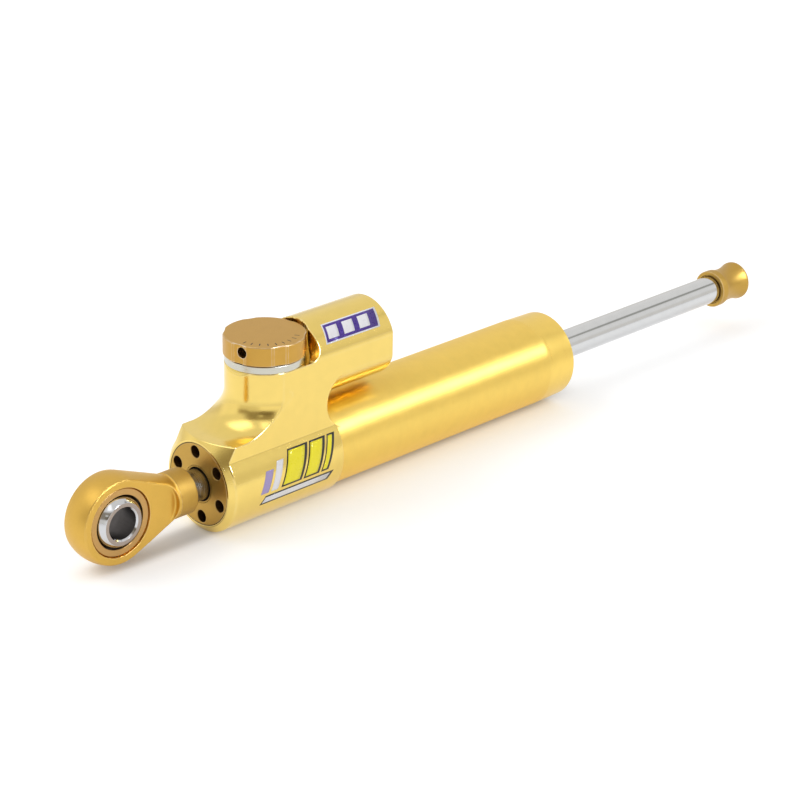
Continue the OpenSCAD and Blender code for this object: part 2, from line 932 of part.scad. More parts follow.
module detent_spring() {
    color(steel)
        translate([x_knob, detent_set, z_detent_hole + seat_fit])
            coil(detent_r - detent_wire, detent_wire,
                z_detent - detent_r - z_detent_hole - 3*seat_fit, detent_turns, "detent spring");
}

module floating_piston() {
    color("lightsteelblue")
        translate([0, 0, res_z])
            difference() {
                bar_x(x_float, x_float1, res_bore_r - run_fit);
                bar_x(x_float1 - float_len/2 - 1, x_float1 + over, spring_r - spring_wire - 2);
                ring_x(x_float_ring - small_groove_w/2, x_float_ring + small_groove_w/2,
                    res_bore_r + over, res_bore_r - small_groove);
            }
}

module floating_piston_o_ring() {
    color(rubber)
        translate([0, 0, res_z]) o_ring_x(x_float_ring, res_bore_r, res_bore_r - small_groove);
}

module compensator_spring() {
    color(steel)
        translate([x_float1 + soft_fit, 0, res_z])
            rotate([0, 90, 0])
                coil(spring_r, spring_wire, x_plug - x_float1 - 2*soft_fit, spring_turns, "reservoir spring");
}

module reservoir_plug() {
    color(dark_gold)
        translate([0, 0, res_z])
            difference() {
                bar_x(x_plug, x_plug1, res_bore_r - seat_fit);
                bar_x(x_plug1 - 1.5, x_plug1 + over, res_bore_r/2);
                ring_x(x_plug_ring - small_groove_w/2, x_plug_ring + small_groove_w/2,
                    res_bore_r + over, res_bore_r - small_groove);
            }
}

module reservoir_plug_o_ring() {
    color(rubber)
        translate([0, 0, res_z]) o_ring_x(x_plug_ring, res_bore_r, res_bore_r - small_groove);
}

module reservoir_circlip() {
    color(steel)
        translate([0, 0, res_z])
            difference() {
                ring_x(x_plug1 + seat_fit, x_plug1 + circlip_w - seat_fit,
                    res_bore_r + circlip_bite - seat_fit, res_bore_r - circlip_rise);
                translate([x_plug1 - over, -circlip_gap/2, -res_r - over])
                    cube([circlip_w + 2*over, circlip_gap, res_r]);
            }
}

valve_block();
cylinder_tube();
tube_o_ring();
gallery_plug();
front_gland();
front_gland_o_ring();
front_rod_bush();
front_rod_seal();
front_wiper();
rear_gland();
rear_gland_o_ring();
rear_rod_bush();
rear_rod_seal();
rear_wiper();
piston_rod();
piston();
piston_o_ring();
piston_ring();
piston_clips();
rod_eye();
bearing_race();
bearing_liner();
bearing_ball();
end_cap();
index_ring();
adjuster_cartridge();
cartridge_o_ring();
valve_seat();
needle_guide_pin();
metering_needle();
adjuster_spindle();
spindle_o_ring();
adjuster_knob();
knob_grub_screw();
detent_ball();
detent_spring();
floating_piston();
floating_piston_o_ring();
compensator_spring();
reservoir_plug();
reservoir_plug_o_ring();
reservoir_circlip();
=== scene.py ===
"""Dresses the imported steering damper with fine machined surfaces, metal finishes and a pale studio."""

import json

import bpy
import numpy as np
from mathutils import Matrix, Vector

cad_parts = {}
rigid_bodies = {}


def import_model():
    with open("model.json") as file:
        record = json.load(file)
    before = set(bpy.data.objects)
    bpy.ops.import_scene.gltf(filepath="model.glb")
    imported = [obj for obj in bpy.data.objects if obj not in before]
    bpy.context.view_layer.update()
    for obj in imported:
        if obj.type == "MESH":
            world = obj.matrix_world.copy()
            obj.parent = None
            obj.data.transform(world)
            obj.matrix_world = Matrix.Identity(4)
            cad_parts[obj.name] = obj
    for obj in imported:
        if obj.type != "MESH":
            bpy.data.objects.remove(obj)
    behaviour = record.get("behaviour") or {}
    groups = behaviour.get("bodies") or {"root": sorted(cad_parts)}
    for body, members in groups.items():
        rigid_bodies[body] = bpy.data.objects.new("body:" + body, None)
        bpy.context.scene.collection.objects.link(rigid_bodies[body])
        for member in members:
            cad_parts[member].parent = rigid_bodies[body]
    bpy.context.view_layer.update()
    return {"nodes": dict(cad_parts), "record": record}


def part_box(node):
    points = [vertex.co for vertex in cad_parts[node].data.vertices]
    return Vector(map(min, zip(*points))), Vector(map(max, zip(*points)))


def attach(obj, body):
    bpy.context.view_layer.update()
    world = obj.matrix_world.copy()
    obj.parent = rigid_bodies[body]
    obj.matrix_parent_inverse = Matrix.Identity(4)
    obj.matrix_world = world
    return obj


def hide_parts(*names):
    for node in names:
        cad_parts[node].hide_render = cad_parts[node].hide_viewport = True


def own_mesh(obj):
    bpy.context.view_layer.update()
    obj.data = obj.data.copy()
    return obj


for leftover in list(bpy.data.objects):
    bpy.data.objects.remove(leftover)
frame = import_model()

bl_info = {
    "name": "Steering Damper",
    "version": (1, 0, 0),
    "blender": (4, 5, 0),
    "location": "3D View > Sidebar > Damper",
    "description": "Fine surfaces, finishes and a studio for the packed steering damper",
    "category": "Object",
}

LOW, HIGH = 0, 1
X, Y, Z = 0, 1, 2


def reach(node, end, axis):
    """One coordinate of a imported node's box, in metres."""
    return float(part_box(node)[end][axis])


X_NOSE = reach("front_gland", LOW, X)
X_SPIGOT = reach("front_gland", HIGH, X)
SPIGOT_LENGTH = 0.0222
X_SOCKET = X_SPIGOT + SPIGOT_LENGTH
X_TAIL = reach("cylinder_tube", HIGH, X)
X_REAR = reach("rear_gland", LOW, X)
X_RES_END = reach("valve_block", HIGH, X)
X_KNOB = 0.5*(reach("index_ring", LOW, X) + reach("index_ring", HIGH, X))
X_EYE = 0.5*(reach("bearing_ball", LOW, X) + reach("bearing_ball", HIGH, X))
X_NECK = reach("rod_eye", HIGH, X)
X_CAP = reach("end_cap", LOW, X)
X_END = reach("end_cap", HIGH, X)
X_ROD = reach("piston_rod", HIGH, X)
X_PLUG = reach("reservoir_plug", HIGH, X)
Z_BOSS = reach("index_ring", LOW, Z)
Z_RING = reach("index_ring", HIGH, Z)
Z_KNOB = reach("adjuster_knob", LOW, Z)
Z_TOP = reach("adjuster_knob", HIGH, Z)
# Play between pieces that fit into each other.
FIT = 2e-5


def size(name, description, default):
    """A length in metres."""
    return bpy.props.FloatProperty(name=name, description=description, default=default,
                                   unit="LENGTH", precision=5)


def share(name, description, default):
    """A plain number between nothing and one."""
    return bpy.props.FloatProperty(name=name, description=description, default=default,
                                   min=0.0, max=1.0, subtype="FACTOR")


def colour(name, description, default):
    """A linear colour."""
    return bpy.props.FloatVectorProperty(name=name, description=description, default=default,
                                         size=3, min=0.0, max=1.0, subtype="COLOR")


class DamperSizes(bpy.types.PropertyGroup):
    """Sizes of the machined pieces."""
    tube_r: size("Tube radius", "Radius of the clamp land", 0.015)
    bore_r: size("Tube bore", "Radius of the cylinder's bore", 0.012)
    spigot_r: size("Spigot radius", "Radius of the tube inside the block", 0.014)
    land_relief: size("Front taper", "How far the tube's front end tapers in", 5e-5)
    tail_drop: size("Tail taper", "How far the tube's rear end tapers in", 0.0003)
    land: size("Clamp land", "Half the length of the clamp land", 0.0355)
    sleeve_r: size("Sleeve radius", "Radius of the block's sleeve", 0.01598)
    sleeve_end: size("Sleeve end", "Distance from the nose to the sleeve's end", 0.0462)
    half_w: size("Half width", "Half the block's width across its flat sides", 0.0124)
    boss_r: size("Turret radius", "Radius of the turret's round front", 0.01254)
    scoop_r: size("Hollow radius", "Radius of the hollow at the turret's foot", 0.0106)
    scoop_z: size("Hollow floor", "Height of the hollow's floor", 0.0149)
    nose_r: size("Nose radius", "Radius where the nose cone starts", 0.01395)
    nose_slope: share("Nose slope", "Rise along the axis for each length of radius", 0.8)
    slot_r: size("Slot radius", "Radius of the slot under the reservoir", 0.0092)
    slot_x: size("Slot place", "Distance from the nose to the slot's centre", 0.0515)
    slot_z: size("Slot height", "Height of the slot's centre", 0.017475)
    res_r: size("Reservoir radius", "Radius of the reservoir", 0.0131)
    res_z: size("Reservoir height", "Height of the reservoir's axis", 0.0305)
    res_bore_r: size("Reservoir bore", "Radius of the reservoir's bore", 0.011)
    pocket_r: size("Pocket radius", "Radius of the hollow round the knob", 0.01385)
    pocket_set: size("Pocket wall", "Distance from the knob's axis to the flat wall", 0.0125)
    pocket_foot: size("Pocket foot", "Radius at the foot of that wall", 0.0046)
    valve_r: size("Valve bore", "Radius of the bore in the turret", 0.0085)
    valve_floor: size("Valve floor", "Height of the valve bore's floor", 0.0185)
    gland_r: size("Front gland", "Radius of the front gland", 0.01335)
    rear_gland_r: size("Rear gland", "Radius of the rear gland", 0.0123)
    mouth_r: size("Gland mouth", "Radius of the gland's mouth in front of the wiper", 0.0055)
    pin_hole_r: size("Pin hole", "Radius of the pin-spanner holes", 0.002)
    pin_inset: size("Pin inset", "Distance of a pin hole from the gland's rim", 0.00285)
    rod_r: size("Rod radius", "Radius of the rod", 0.005)
    head_r: size("Eye radius", "Radius of the eye's round head", 0.01429)
    flat: size("Eye flat", "Half the eye's width across its flats", 0.0051)
    neck_r: size("Neck radius", "Radius of the eye's neck", 0.0074)
    neck_len: size("Neck length", "Length of the eye's neck", 0.0065)
    race_r: size("Race radius", "Outside radius of the race", 0.011)
    race_half: size("Race half width", "Half the width of the race", 0.0046)
    ball_r: size("Ball radius", "Radius of the bearing ball", 0.0092)
    ball_half: size("Ball half width", "Half the width of the ball", 0.0063)
    bolt_r: size("Bolt bore", "Radius of the ball's bore", 0.005)
    knob_r: size("Knob radius", "Radius of the knob", 0.0129)
    scallop_depth: size("Scallop depth", "Depth of a scallop in the knob", 0.00045)
    scallop_w: size("Scallop width", "Width of a scallop in the knob", 0.0066)
    grub_r: size("Grub hole", "Radius of the grub screw's hole", 0.0017)
    edge: size("Edge radius", "Radius of the broken edges", 0.0003)
    fine: size("Fine spacing", "Grid spacing at edges", 0.0002)
    coarse: size("Coarse spacing", "Grid spacing away from edges", 0.00057)


class DamperFinishes(bpy.types.PropertyGroup):
    """Colours of the finishes."""
    gold_bright: colour("Bright gold", "Bright anodising of the block", (0.83, 0.62, 0.178))
    gold_tube: colour("Tube gold", "Bright anodising of the clamp land", (0.90, 0.635, 0.15))
    gold_satin: colour("Satin gold", "Satin anodising of the eye", (0.69, 0.43, 0.088))
    gold_deep: colour("Deep gold", "Darker satin anodising of the glands and end cap", (0.53, 0.325, 0.07))
    # Painted shade: the pin holes' walls are darkened for the shade inside them.
    painted_shade_hole: colour("Hole gold", "Dull walls of the pin holes", (0.16, 0.085, 0.03))
    gold_knob: colour("Knob gold", "Satin anodising of the knob", (0.57, 0.33, 0.07))
    chrome: colour("Chrome", "Hard chrome of the rod", (0.64, 0.645, 0.65))
    # Painted shade: the rod's short front end is chrome darkened and warmed to stand for the dark reflections
    # it shows.
    stub: colour("Rod stub", "Shaded chrome of the rod's short front end", (0.29, 0.27, 0.23))
    ball_steel: colour("Ball steel", "Polished steel of the ball", (0.60, 0.605, 0.62))
    ball_face: colour("Ball face", "Ground flat faces of the ball", (0.36, 0.30, 0.26))
    aluminium: colour("Bare aluminium", "Turned aluminium", (0.59, 0.58, 0.51))
    bronze: colour("Bronze", "Turned bronze", (0.52, 0.31, 0.11))
    steel: colour("Steel", "Ground steel", (0.55, 0.55, 0.55))
    # Painted shade: the ball's bore is darkened nearly to black for the shade inside it.
    painted_shade_bore: colour("Bore steel", "Dull steel in the ball's bore", (0.10, 0.092, 0.09))
    black_steel: colour("Black steel", "Black oxide", (0.03, 0.03, 0.03))
    rubber: colour("Rubber", "Black rubber", (0.012, 0.012, 0.012))
    plastic: colour("Plastic", "Filled plastic of the seals and slide ring", (0.07, 0.05, 0.04))
    label_yellow: colour("Label yellow", "Yellow of the side label", (0.98, 0.86, 0.02))
    label_white: colour("Label white", "White of the labels", (0.86, 0.85, 0.88))
    label_lilac: colour("Label lilac", "Lilac of the side label", (0.42, 0.34, 0.62))
    label_purple: colour("Label purple", "Purple of the reservoir's label", (0.06, 0.02, 0.27))
    label_black: colour("Label black", "Black of the labels", (0.01, 0.01, 0.01))


class DamperStage(bpy.types.PropertyGroup):
    """Light and floor of the studio."""
    floor_z: size("Floor", "Height of the floor", -0.016)
    floor_half: size("Floor half width", "Half the width of the floor", 3.0)
    fill: share("Fill", "Strength of the room's light on matt surfaces", 0.85)
    glow: share("Floor glow", "Share of the floor's white that no shadow takes away", 0.33)
    window: bpy.props.FloatProperty(name="Side window", description="Brightness of the window in reflections",
                                    default=27.0)
    back_light: bpy.props.FloatProperty(name="Back softbox", description="Brightness of the softbox behind",
                                        default=2.4)


def cut(a, b, r):
    """Common part of two solids, the edge between them rounded: -r plus the length of (a + r, b + r)."""
    return np.minimum(np.maximum(a, b), -r) + np.hypot(np.maximum(a + r, 0), np.maximum(b + r, 0))


def join(a, b, r):
    """Two solids together, the corner between them filleted: r less the length of (r - a, r - b)."""
    return np.maximum(np.minimum(a, b), r) - np.hypot(np.maximum(r - a, 0), np.maximum(r - b, 0))


def graded(low, high, marks, fine, coarse, width):
    """Grid stations, fine at the marks and coarse away from them: equal steps of the summed density."""
    t = np.linspace(low, high, 6001)
    away = np.min(np.abs(t[:, None] - np.array(marks)), axis=1)
    spacing = fine + (coarse - fine)*np.clip(away/width - 1, 0, 1)
    total = np.concatenate([[0], np.cumsum(0.5*(1/spacing[1:] + 1/spacing[:-1])*np.diff(t))])
    return np.interp(np.linspace(0, total[-1], int(total[-1]) + 2), total, t)


def gradient(field, p, h):
    """Central differences of a field at points."""
    columns = []
    for axis in range(3):
        step = np.zeros(3)
        step[axis] = h
        ahead, behind = p + step, p - step
        columns.append(field(*ahead.T) - field(*behind.T))
    return np.stack(columns, axis=1)/(2*h)


def net_quads(index, inside, axis, closed):
    """One quad round each grid line along an axis that passes through the surface, facing out. A closed axis
    joins its last cell to its first."""
    along = [slice(None)]*3
    along[axis] = slice(None, -1)
    ahead = list(along)
    ahead[axis] = slice(1, None)
    first, second = inside[tuple(along)], inside[tuple(ahead)]
    where = np.argwhere(first != second)
    b, c = (axis + 1) % 3, (axis + 2) % 3
    for side in (b, c):
        if side == closed:
            where = where[where[:, side] < inside.shape[side] - 1]
        else:
            where = where[where[:, side] > 0]
    leaving = first[tuple(where.T)]
    corners = []
    for db, dc in ((1, 1), (0, 1), (0, 0), (1, 0)):
        cell = where.copy()
        cell[:, b] -= db
        cell[:, c] -= dc
        corners.append(index[tuple(cell.T)])
    quads = np.stack(corners, axis=1)
    quads[~leaving] = quads[~leaving][:, ::-1]
    return quads


def surface_net(field, axes, closed=None):
    """Zero level of a field on a grid: a point in each crossed cell at the mean of its edge crossings,
    moved on to the level along the gradient, and a quad round each crossed grid line."""
    values = field(*np.meshgrid(*axes, indexing="ij", sparse=True))
    inside = values < 0
    shape = [len(a) - 1 for a in axes]
    corners = [(i, j, k) for i in (0, 1) for j in (0, 1) for k in (0, 1)]
    total = sum(inside[i:i + shape[0], j:j + shape[1], k:k + shape[2]].astype(np.int8)
                for i, j, k in corners)
    cells = np.argwhere((total > 0) & (total < 8))
    index = np.full(shape, -1, dtype=np.int64)
    index[tuple(cells.T)] = np.arange(len(cells))
    place = np.zeros((len(cells), 3))
    count = np.zeros(len(cells))
    for start in corners:
        for axis in range(3):
            if start[axis]:
                continue
            end = np.array(start)
            end[axis] = 1
            p, q = cells + np.array(start), cells + end
            f, g = values[tuple(p.T)], values[tuple(q.T)]
            crossed = (f < 0) != (g < 0)
            t = np.where(crossed, f/np.where(crossed, f - g, 1), 0)
            a = np.stack([axes[n][p[:, n]] for n in range(3)], axis=1)
            b = np.stack([axes[n][q[:, n]] for n in range(3)], axis=1)
            place += (a + t[:, None]*(b - a))*crossed[:, None]
            count += crossed
    place /= count[:, None]
    for _ in range(4):
        slope = gradient(field, place, 1e-5)
        steep = np.maximum(np.sum(slope*slope, axis=1), 0.05)
        place -= np.clip(field(*place.T)/steep, -2e-4, 2e-4)[:, None]*slope
    quads = np.concatenate([net_quads(index, inside, axis, closed) for axis in range(3)])
    return place, quads


def edge_share(field, p, h):
    """How sharply the surface bends outwards: the field's second differences times the step, cut to 0..1."""
    bend = -6*field(*p.T)
    for axis in range(3):
        step = np.zeros(3)
        step[axis] = h
        bend = bend + field(*(p + step).T) + field(*(p - step).T)
    return np.clip(bend/h - 0.12, 0, 0.5)*2


def rounded(corners, radii, steps=6):
    """Closed polygon with each corner turned into an arc tangent to both sides: points, outward normals
    and which points lie on an outward corner. The corners run anticlockwise."""
    c = np.array(corners, dtype=float)
    a = np.roll(c, 1, axis=0) - c
    b = np.roll(c, -1, axis=0) - c
    la, lb = np.linalg.norm(a, axis=1), np.linalg.norm(b, axis=1)
    a, b = a/la[:, None], b/lb[:, None]
    half = 0.5*np.arccos(np.clip(np.sum(a*b, axis=1), -1, 1))
    back = np.minimum(np.broadcast_to(radii, la.shape)/np.tan(half), 0.48*np.minimum(la, lb))
    r = back*np.tan(half)
    middle = a + b
    middle = middle/np.linalg.norm(middle, axis=1)[:, None]
    centre = c + middle*(r/np.sin(half))[:, None]
    outward = np.where(a[:, 0]*b[:, 1] - a[:, 1]*b[:, 0] < 0, 1.0, -1.0)
    start = c + a*back[:, None] - centre
    end = c + b*back[:, None] - centre
    first = np.arctan2(start[:, 1], start[:, 0])
    sweep = (np.arctan2(end[:, 1], end[:, 0]) - first + np.pi) % (2*np.pi) - np.pi
    angle = first[:, None] + sweep[:, None]*np.linspace(0, 1, steps + 1)
    ray = np.stack([np.cos(angle), np.sin(angle)], axis=2)
    points = (centre[:, None] + r[:, None, None]*ray).reshape(-1, 2)
    normals = (outward[:, None, None]*ray).reshape(-1, 2)
    worn = np.repeat(outward > 0, steps + 1) & np.tile(
        (np.arange(steps + 1) > 0) & (np.arange(steps + 1) < steps), len(c))
    return points, normals, worn.astype(float)


AXES = {
    "x": np.array([[1.0, 0, 0], [0, 1, 0], [0, 0, 1]]),
    "y": np.array([[0.0, 1, 0], [0, 0, 1], [1, 0, 0]]),
    "z": np.array([[0.0, 0, 1], [1, 0, 0], [0, 1, 0]]),
}
SIDES = 224


def grid_quads(rows, columns, round_rows=False, round_columns=False):
    """Quads between the points of a grid, which are numbered row by row; a round grid joins its ends."""
    i, j = np.meshgrid(np.arange(rows if round_rows else rows - 1),
                       np.arange(columns if round_columns else columns - 1), indexing="ij")
    i1, j1 = (i + 1) % rows, (j + 1) % columns
    corners = [i*columns + j, i1*columns + j, i1*columns + j1, i*columns + j1]
    return np.stack(corners, axis=2).reshape(-1, 4)


def end_fans(count, sides):
    """Triangles that close the first and last of a run of rings, each round a point added after the rings."""
    j = np.arange(sides)
    j1 = (j + 1) % sides
    last = count - sides
    return np.concatenate([np.stack([0*j + count, j, j1], axis=1),
                           np.stack([last + j, 0*j + count + 1, last + j1], axis=1)])


def turned(profile, axis, centre=(0, 0, 0)):
    """A closed profile of (along, radius) carried round an axis: the point is the centre plus along times
    the axis plus radius times (cos, sin) in the plane across it."""
    points, normals, worn = profile
    basis = AXES[axis]
    angle = 2*np.pi*np.arange(SIDES)/SIDES
    ring = np.cos(angle)[:, None]*basis[1] + np.sin(angle)[:, None]*basis[2]
    place = np.array(centre) + points[:, None, :1]*basis[0] + points[:, None, 1:]*ring[None]
    facing = normals[:, None, :1]*basis[0] + normals[:, None, 1:]*ring[None]
    quads = grid_quads(len(points), SIDES, True, True)
    return place.reshape(-1, 3), quads, facing.reshape(-1, 3), np.repeat(worn, SIDES)


def turned_bar(points, normals, worn):
    """The same round x for an open profile that starts and ends on the axis, each end closed by a fan of
    triangles round one point."""
    place, quads, facing, edge = turned((points[1:-1], normals[1:-1], worn[1:-1]), "x")
    poles, ends = (row[[0, -1], :1]*AXES["x"][0] for row in (points, normals))
    return (np.concatenate([place, poles]), quads[:-SIDES], np.concatenate([facing, ends]),
            np.concatenate([edge, [0, 0]]), end_fans(len(place), SIDES))


def make_mesh(name, points, quads, normals, worn, fans=np.zeros((0, 3), dtype=int)):
    """Puts points, quads and triangles into a mesh, with its normals and the attribute of outward edges,
    which are painted lighter, partly as wear and partly as a painted highlight.
    """
    mesh = bpy.data.meshes.new(name)
    mesh.vertices.add(len(points))
    mesh.vertices.foreach_set("co", points.astype(np.float32).ravel())
    corners = np.concatenate([quads.ravel(), fans.ravel()])
    mesh.loops.add(len(corners))
    mesh.loops.foreach_set("vertex_index", corners.astype(np.int32))
    starts = np.concatenate([4*np.arange(len(quads)), quads.size + 3*np.arange(len(fans))])
    mesh.polygons.add(len(starts))
    mesh.polygons.foreach_set("loop_start", starts.astype(np.int32))
    mesh.polygons.foreach_set("use_smooth", np.ones(len(starts), dtype=bool))
    mesh.update(calc_edges=True)
    # Outward edges, for the lighter edge colour: partly wear, partly a painted highlight.
    mesh.attributes.new("worn", "FLOAT", "POINT").data.foreach_set("value", worn.astype(np.float32))
    mesh.normals_split_custom_set_from_vertices(normals.astype(np.float32))
    return mesh


# Each piece: its body, its material slot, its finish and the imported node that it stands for.
PIECES = {
    "barrel_tube": ("barrel", "gold_bright", "tube_gold", "cylinder_tube"),
    "machined_block": ("barrel", "gold_bright", "block_gold", "valve_block"),
    "front_gland_nut": ("barrel", "gold_satin", "deep_gold", "front_gland"),
    "rear_gland_nut": ("barrel", "gold_satin", "deep_gold", "rear_gland"),
    "front_wiper_lip": ("barrel", "rubber", "black_rubber", "front_wiper"),
    "rear_wiper_lip": ("barrel", "rubber", "black_rubber", "rear_wiper"),
    "chromed_rod": ("rod", "chrome", "hard_chrome", "piston_rod"),
    "milled_eye": ("rod", "gold_satin", "satin_gold", "rod_eye"),
    "bearing_race_ring": ("rod", "bronze", "turned_bronze", "bearing_race"),
    "bearing_liner_band": ("liner", "liner", "filled_plastic", "bearing_liner"),
    "bearing_ball_ring": ("ball", "chrome", "polished_ball", "bearing_ball"),
    "scalloped_knob": ("knob", "gold_satin", "knob_gold", "adjuster_knob"),
    "silver_index_ring": ("barrel", "plain_aluminium", "bare_aluminium", "index_ring"),
    "waisted_cap": ("rod", "gold_satin", "deep_gold", "end_cap"),
    "reservoir_coil": ("barrel", "steel", "ground_steel", "compensator_spring"),
    "detent_coil": ("barrel", "steel", "ground_steel", "detent_spring"),
}


def linked(name, data):
    """A new object of some data, linked to the scene."""
    thing = bpy.data.objects.new(name, data)
    bpy.context.scene.collection.objects.link(thing)
    return thing


def put(name, mesh):
    """Links a piece to the scene, on its body, with its finish, in place of its node."""
    body, slot, finish_name, node = PIECES[name]
    piece = linked(name, mesh)
    mesh.materials.append(coat(finish_name))
    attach(piece, body)
    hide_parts(node)
    return piece


def put_field(name, field, points, quads, lining=None):
    """A machined piece from points on its field, with the field's slope as its normals, and a turned lining
    let into it where one is given."""
    normals = gradient(field, points, 1e-5)
    normals /= np.maximum(np.linalg.norm(normals, axis=1), 1e-9)[:, None]
    worn = edge_share(field, points, 1.2e-4)
    if lining:
        place, faces, facing, edge = lining
        quads = np.concatenate([quads, faces + len(points)])
        points = np.concatenate([points, place])
        normals = np.concatenate([normals, facing])
        worn = np.concatenate([worn, edge])
    return put(name, make_mesh(name, points, quads, normals, worn))


def put_net(name, field, axes, lining=None):
    """A machined piece from its field on a straight grid."""
    return put_field(name, field, *surface_net(field, axes), lining)


def put_round_net(name, field, x, r, middle):
    """A machined ring from its field on a round grid: the grid's third axis is the arc at the middle radius,
    and the point is x along the axis and radius times (cos, sin) of arc over middle radius across it."""
    arc = middle*np.linspace(0, 2*np.pi, SIDES + 1)

    def bent(x, r, t):
        return field(x, r*np.cos(t/middle), r*np.sin(t/middle))

    place, quads = surface_net(bent, (x, r, arc), closed=2)
    turn = place[:, 2]/middle
    points = np.stack([place[:, 0], place[:, 1]*np.cos(turn), place[:, 1]*np.sin(turn)], axis=1)
    return put_field(name, field, points, quads)


def put_turned(name, corners, radii, axis="x", centre=(0, 0, 0)):
    """A turned piece from the corners of its half section."""
    return put(name, make_mesh(name, *turned(rounded(corners, radii), axis, centre)))


def put_bar(name, corners, radii, steps=4):
    """A turned piece along x with no hole through it: its half section starts and ends on the axis."""
    points, normals, worn = (row[steps:-steps] for row in rounded(corners, radii, steps))
    normals[0], normals[-1] = (1, 0), (-1, 0)
    return put(name, make_mesh(name, *turned_bar(points, normals, worn)))


def second_finish(piece, material, where):
    """Gives a piece one more finish on the faces whose middles pass a test."""
    mesh = piece.data
    middle = np.zeros(3*len(mesh.polygons), dtype=np.float32)
    mesh.polygons.foreach_get("center", middle)
    index = np.zeros(len(mesh.polygons), dtype=np.int32)
    mesh.polygons.foreach_get("material_index", index)
    index[where(middle.reshape(-1, 3).astype(float))] = len(mesh.materials)
    mesh.materials.append(material)
    mesh.polygons.foreach_set("material_index", index)


class Net:
    """Adds nodes to the tree of a material or world. An input given as a socket is linked; any other value is
    set on the socket."""

    def __init__(self, owner):
        owner.use_nodes = True
        self.tree = owner.node_tree
        self.tree.nodes.clear()

    def add(self, kind, inputs=None, **settings):
        node = self.tree.nodes.new("ShaderNode" + kind)
        for key, value in settings.items():
            setattr(node, key, value)
        for key, value in (inputs or {}).items():
            if isinstance(value, bpy.types.NodeSocket):
                self.tree.links.new(value, node.inputs[key])
            else:
                node.inputs[key].default_value = value
        return node

    def math(self, operation, a, b=0.0, c=0.0):
        return self.add("Math", {0: a, 1: b, 2: c}, operation=operation).outputs[0]

    def vector(self, operation, a, b=(0.0, 0.0, 0.0)):
        result = "Value" if operation in ("LENGTH", "DOT_PRODUCT") else "Vector"
        return self.add("VectorMath", {0: a, 1: b}, operation=operation).outputs[result]

    def apart(self, place):
        return self.add("SeparateXYZ", {0: place}).outputs

    def ramp(self, factor, *stops):
        node = self.add("ValToRGB", {"Fac": factor})
        elements = node.color_ramp.elements
        while len(elements) < len(stops):
            elements.new(0.5)
        for element, (position, tint) in zip(elements, stops):
            element.position = position
            element.color = (*tint, 1.0)
        return node.outputs["Color"]

    def mix(self, factor, a, b):
        return self.add("Mix", {0: factor, 6: a, 7: b}, data_type="RGBA").outputs[2]

    def noise(self, vector, scale, detail=2.0):
        return self.add("TexNoise", {"Vector": vector, "Scale": scale, "Detail": detail}).outputs["Fac"]

    def step(self, value, start, end, low, high, kind="SMOOTHSTEP"):
        """Goes from low to high as a value goes from start to end, smoothly unless another kind is given."""
        ends = {"Value": value, "From Min": start, "From Max": end, "To Min": low, "To Max": high}
        return self.add("MapRange", ends, interpolation_type=kind).outputs["Result"]

    def spread(self, noise, low, high):
        """Spreads the usual range of a noise evenly from low to high."""
        return self.step(noise, 0.3, 0.7, low, high, "LINEAR")


def tinted(tint, factor):
    """A colour made lighter or darker."""
    return tuple(min(1.0, c*factor) for c in tint)


def finish(name, tint, rough, metallic=1.0, lines=(0, 0, 0), line_depth=0.0, grain=4000.0,
           grain_depth=2e-6, swing=0.02, wear_and_sheen=0.0, bare=(0.9, 0.87, 0.8), lathe=False, marks=None):
    """One finish: slow colour variation, fine tool lines or grain in roughness and bump, and lighter outward
    edges, partly worn anodising and partly a painted edge highlight.
    A lathe finish has rings round x, which spread its gloss along x. Marks give the places that are printed
    black."""
    old = bpy.data.materials.get(name)
    if old:
        return old
    material = bpy.data.materials.new(name)
    net = Net(material)
    place = net.add("TexCoord").outputs["Object"]
    cloud = net.noise(place, 260.0, 5.0)
    base = net.ramp(cloud, (0.3, tinted(tint, 1 - swing)), (0.7, tinted(tint, 1 + swing)))
    fine = net.noise(place, grain, 2.0)
    height = net.math("MULTIPLY", fine, grain_depth)
    uneven = fine
    if any(lines):
        scaled = net.add("Mapping", {"Vector": place, "Scale": lines}).outputs["Vector"]
        streak = net.noise(scaled, 1.0, 3.0)
        height = net.math("ADD", height, net.math("MULTIPLY", streak, line_depth))
        uneven = streak
    # Outward edges go patchily towards a pale colour: partly worn anodising, partly a painted edge highlight.
    if wear_and_sheen:
        edge = net.add("Attribute", attribute_name="worn").outputs["Fac"]
        patchy = net.math("MULTIPLY", edge, net.spread(net.noise(place, 700.0, 3.0), wear_and_sheen*0.4, wear_and_sheen))
        base = net.mix(patchy, base, (*bare, 1.0))
    if marks:
        base = net.mix(marks(net, place), base, (0.02, 0.015, 0.01, 1.0))
    bump = net.add("Bump", {"Height": height, "Strength": 1.0, "Distance": 1.0})
    sockets = {"Base Color": base, "Roughness": net.spread(uneven, rough*0.85, rough*1.15),
               "Normal": bump.outputs["Normal"], "Metallic": metallic}
    if lathe:
        round_x = net.add("Tangent", direction_type="RADIAL", axis="X").outputs["Tangent"]
        sockets |= {"Anisotropic": 0.8, "Anisotropic Rotation": 0.25, "Tangent": round_x}
    shader = net.add("BsdfPrincipled", sockets)
    net.add("OutputMaterial", {"Surface": shader.outputs["BSDF"]})
    return material


def sizes():
    """The sizes as they are set in the scene."""
    return bpy.context.scene.damper_sizes


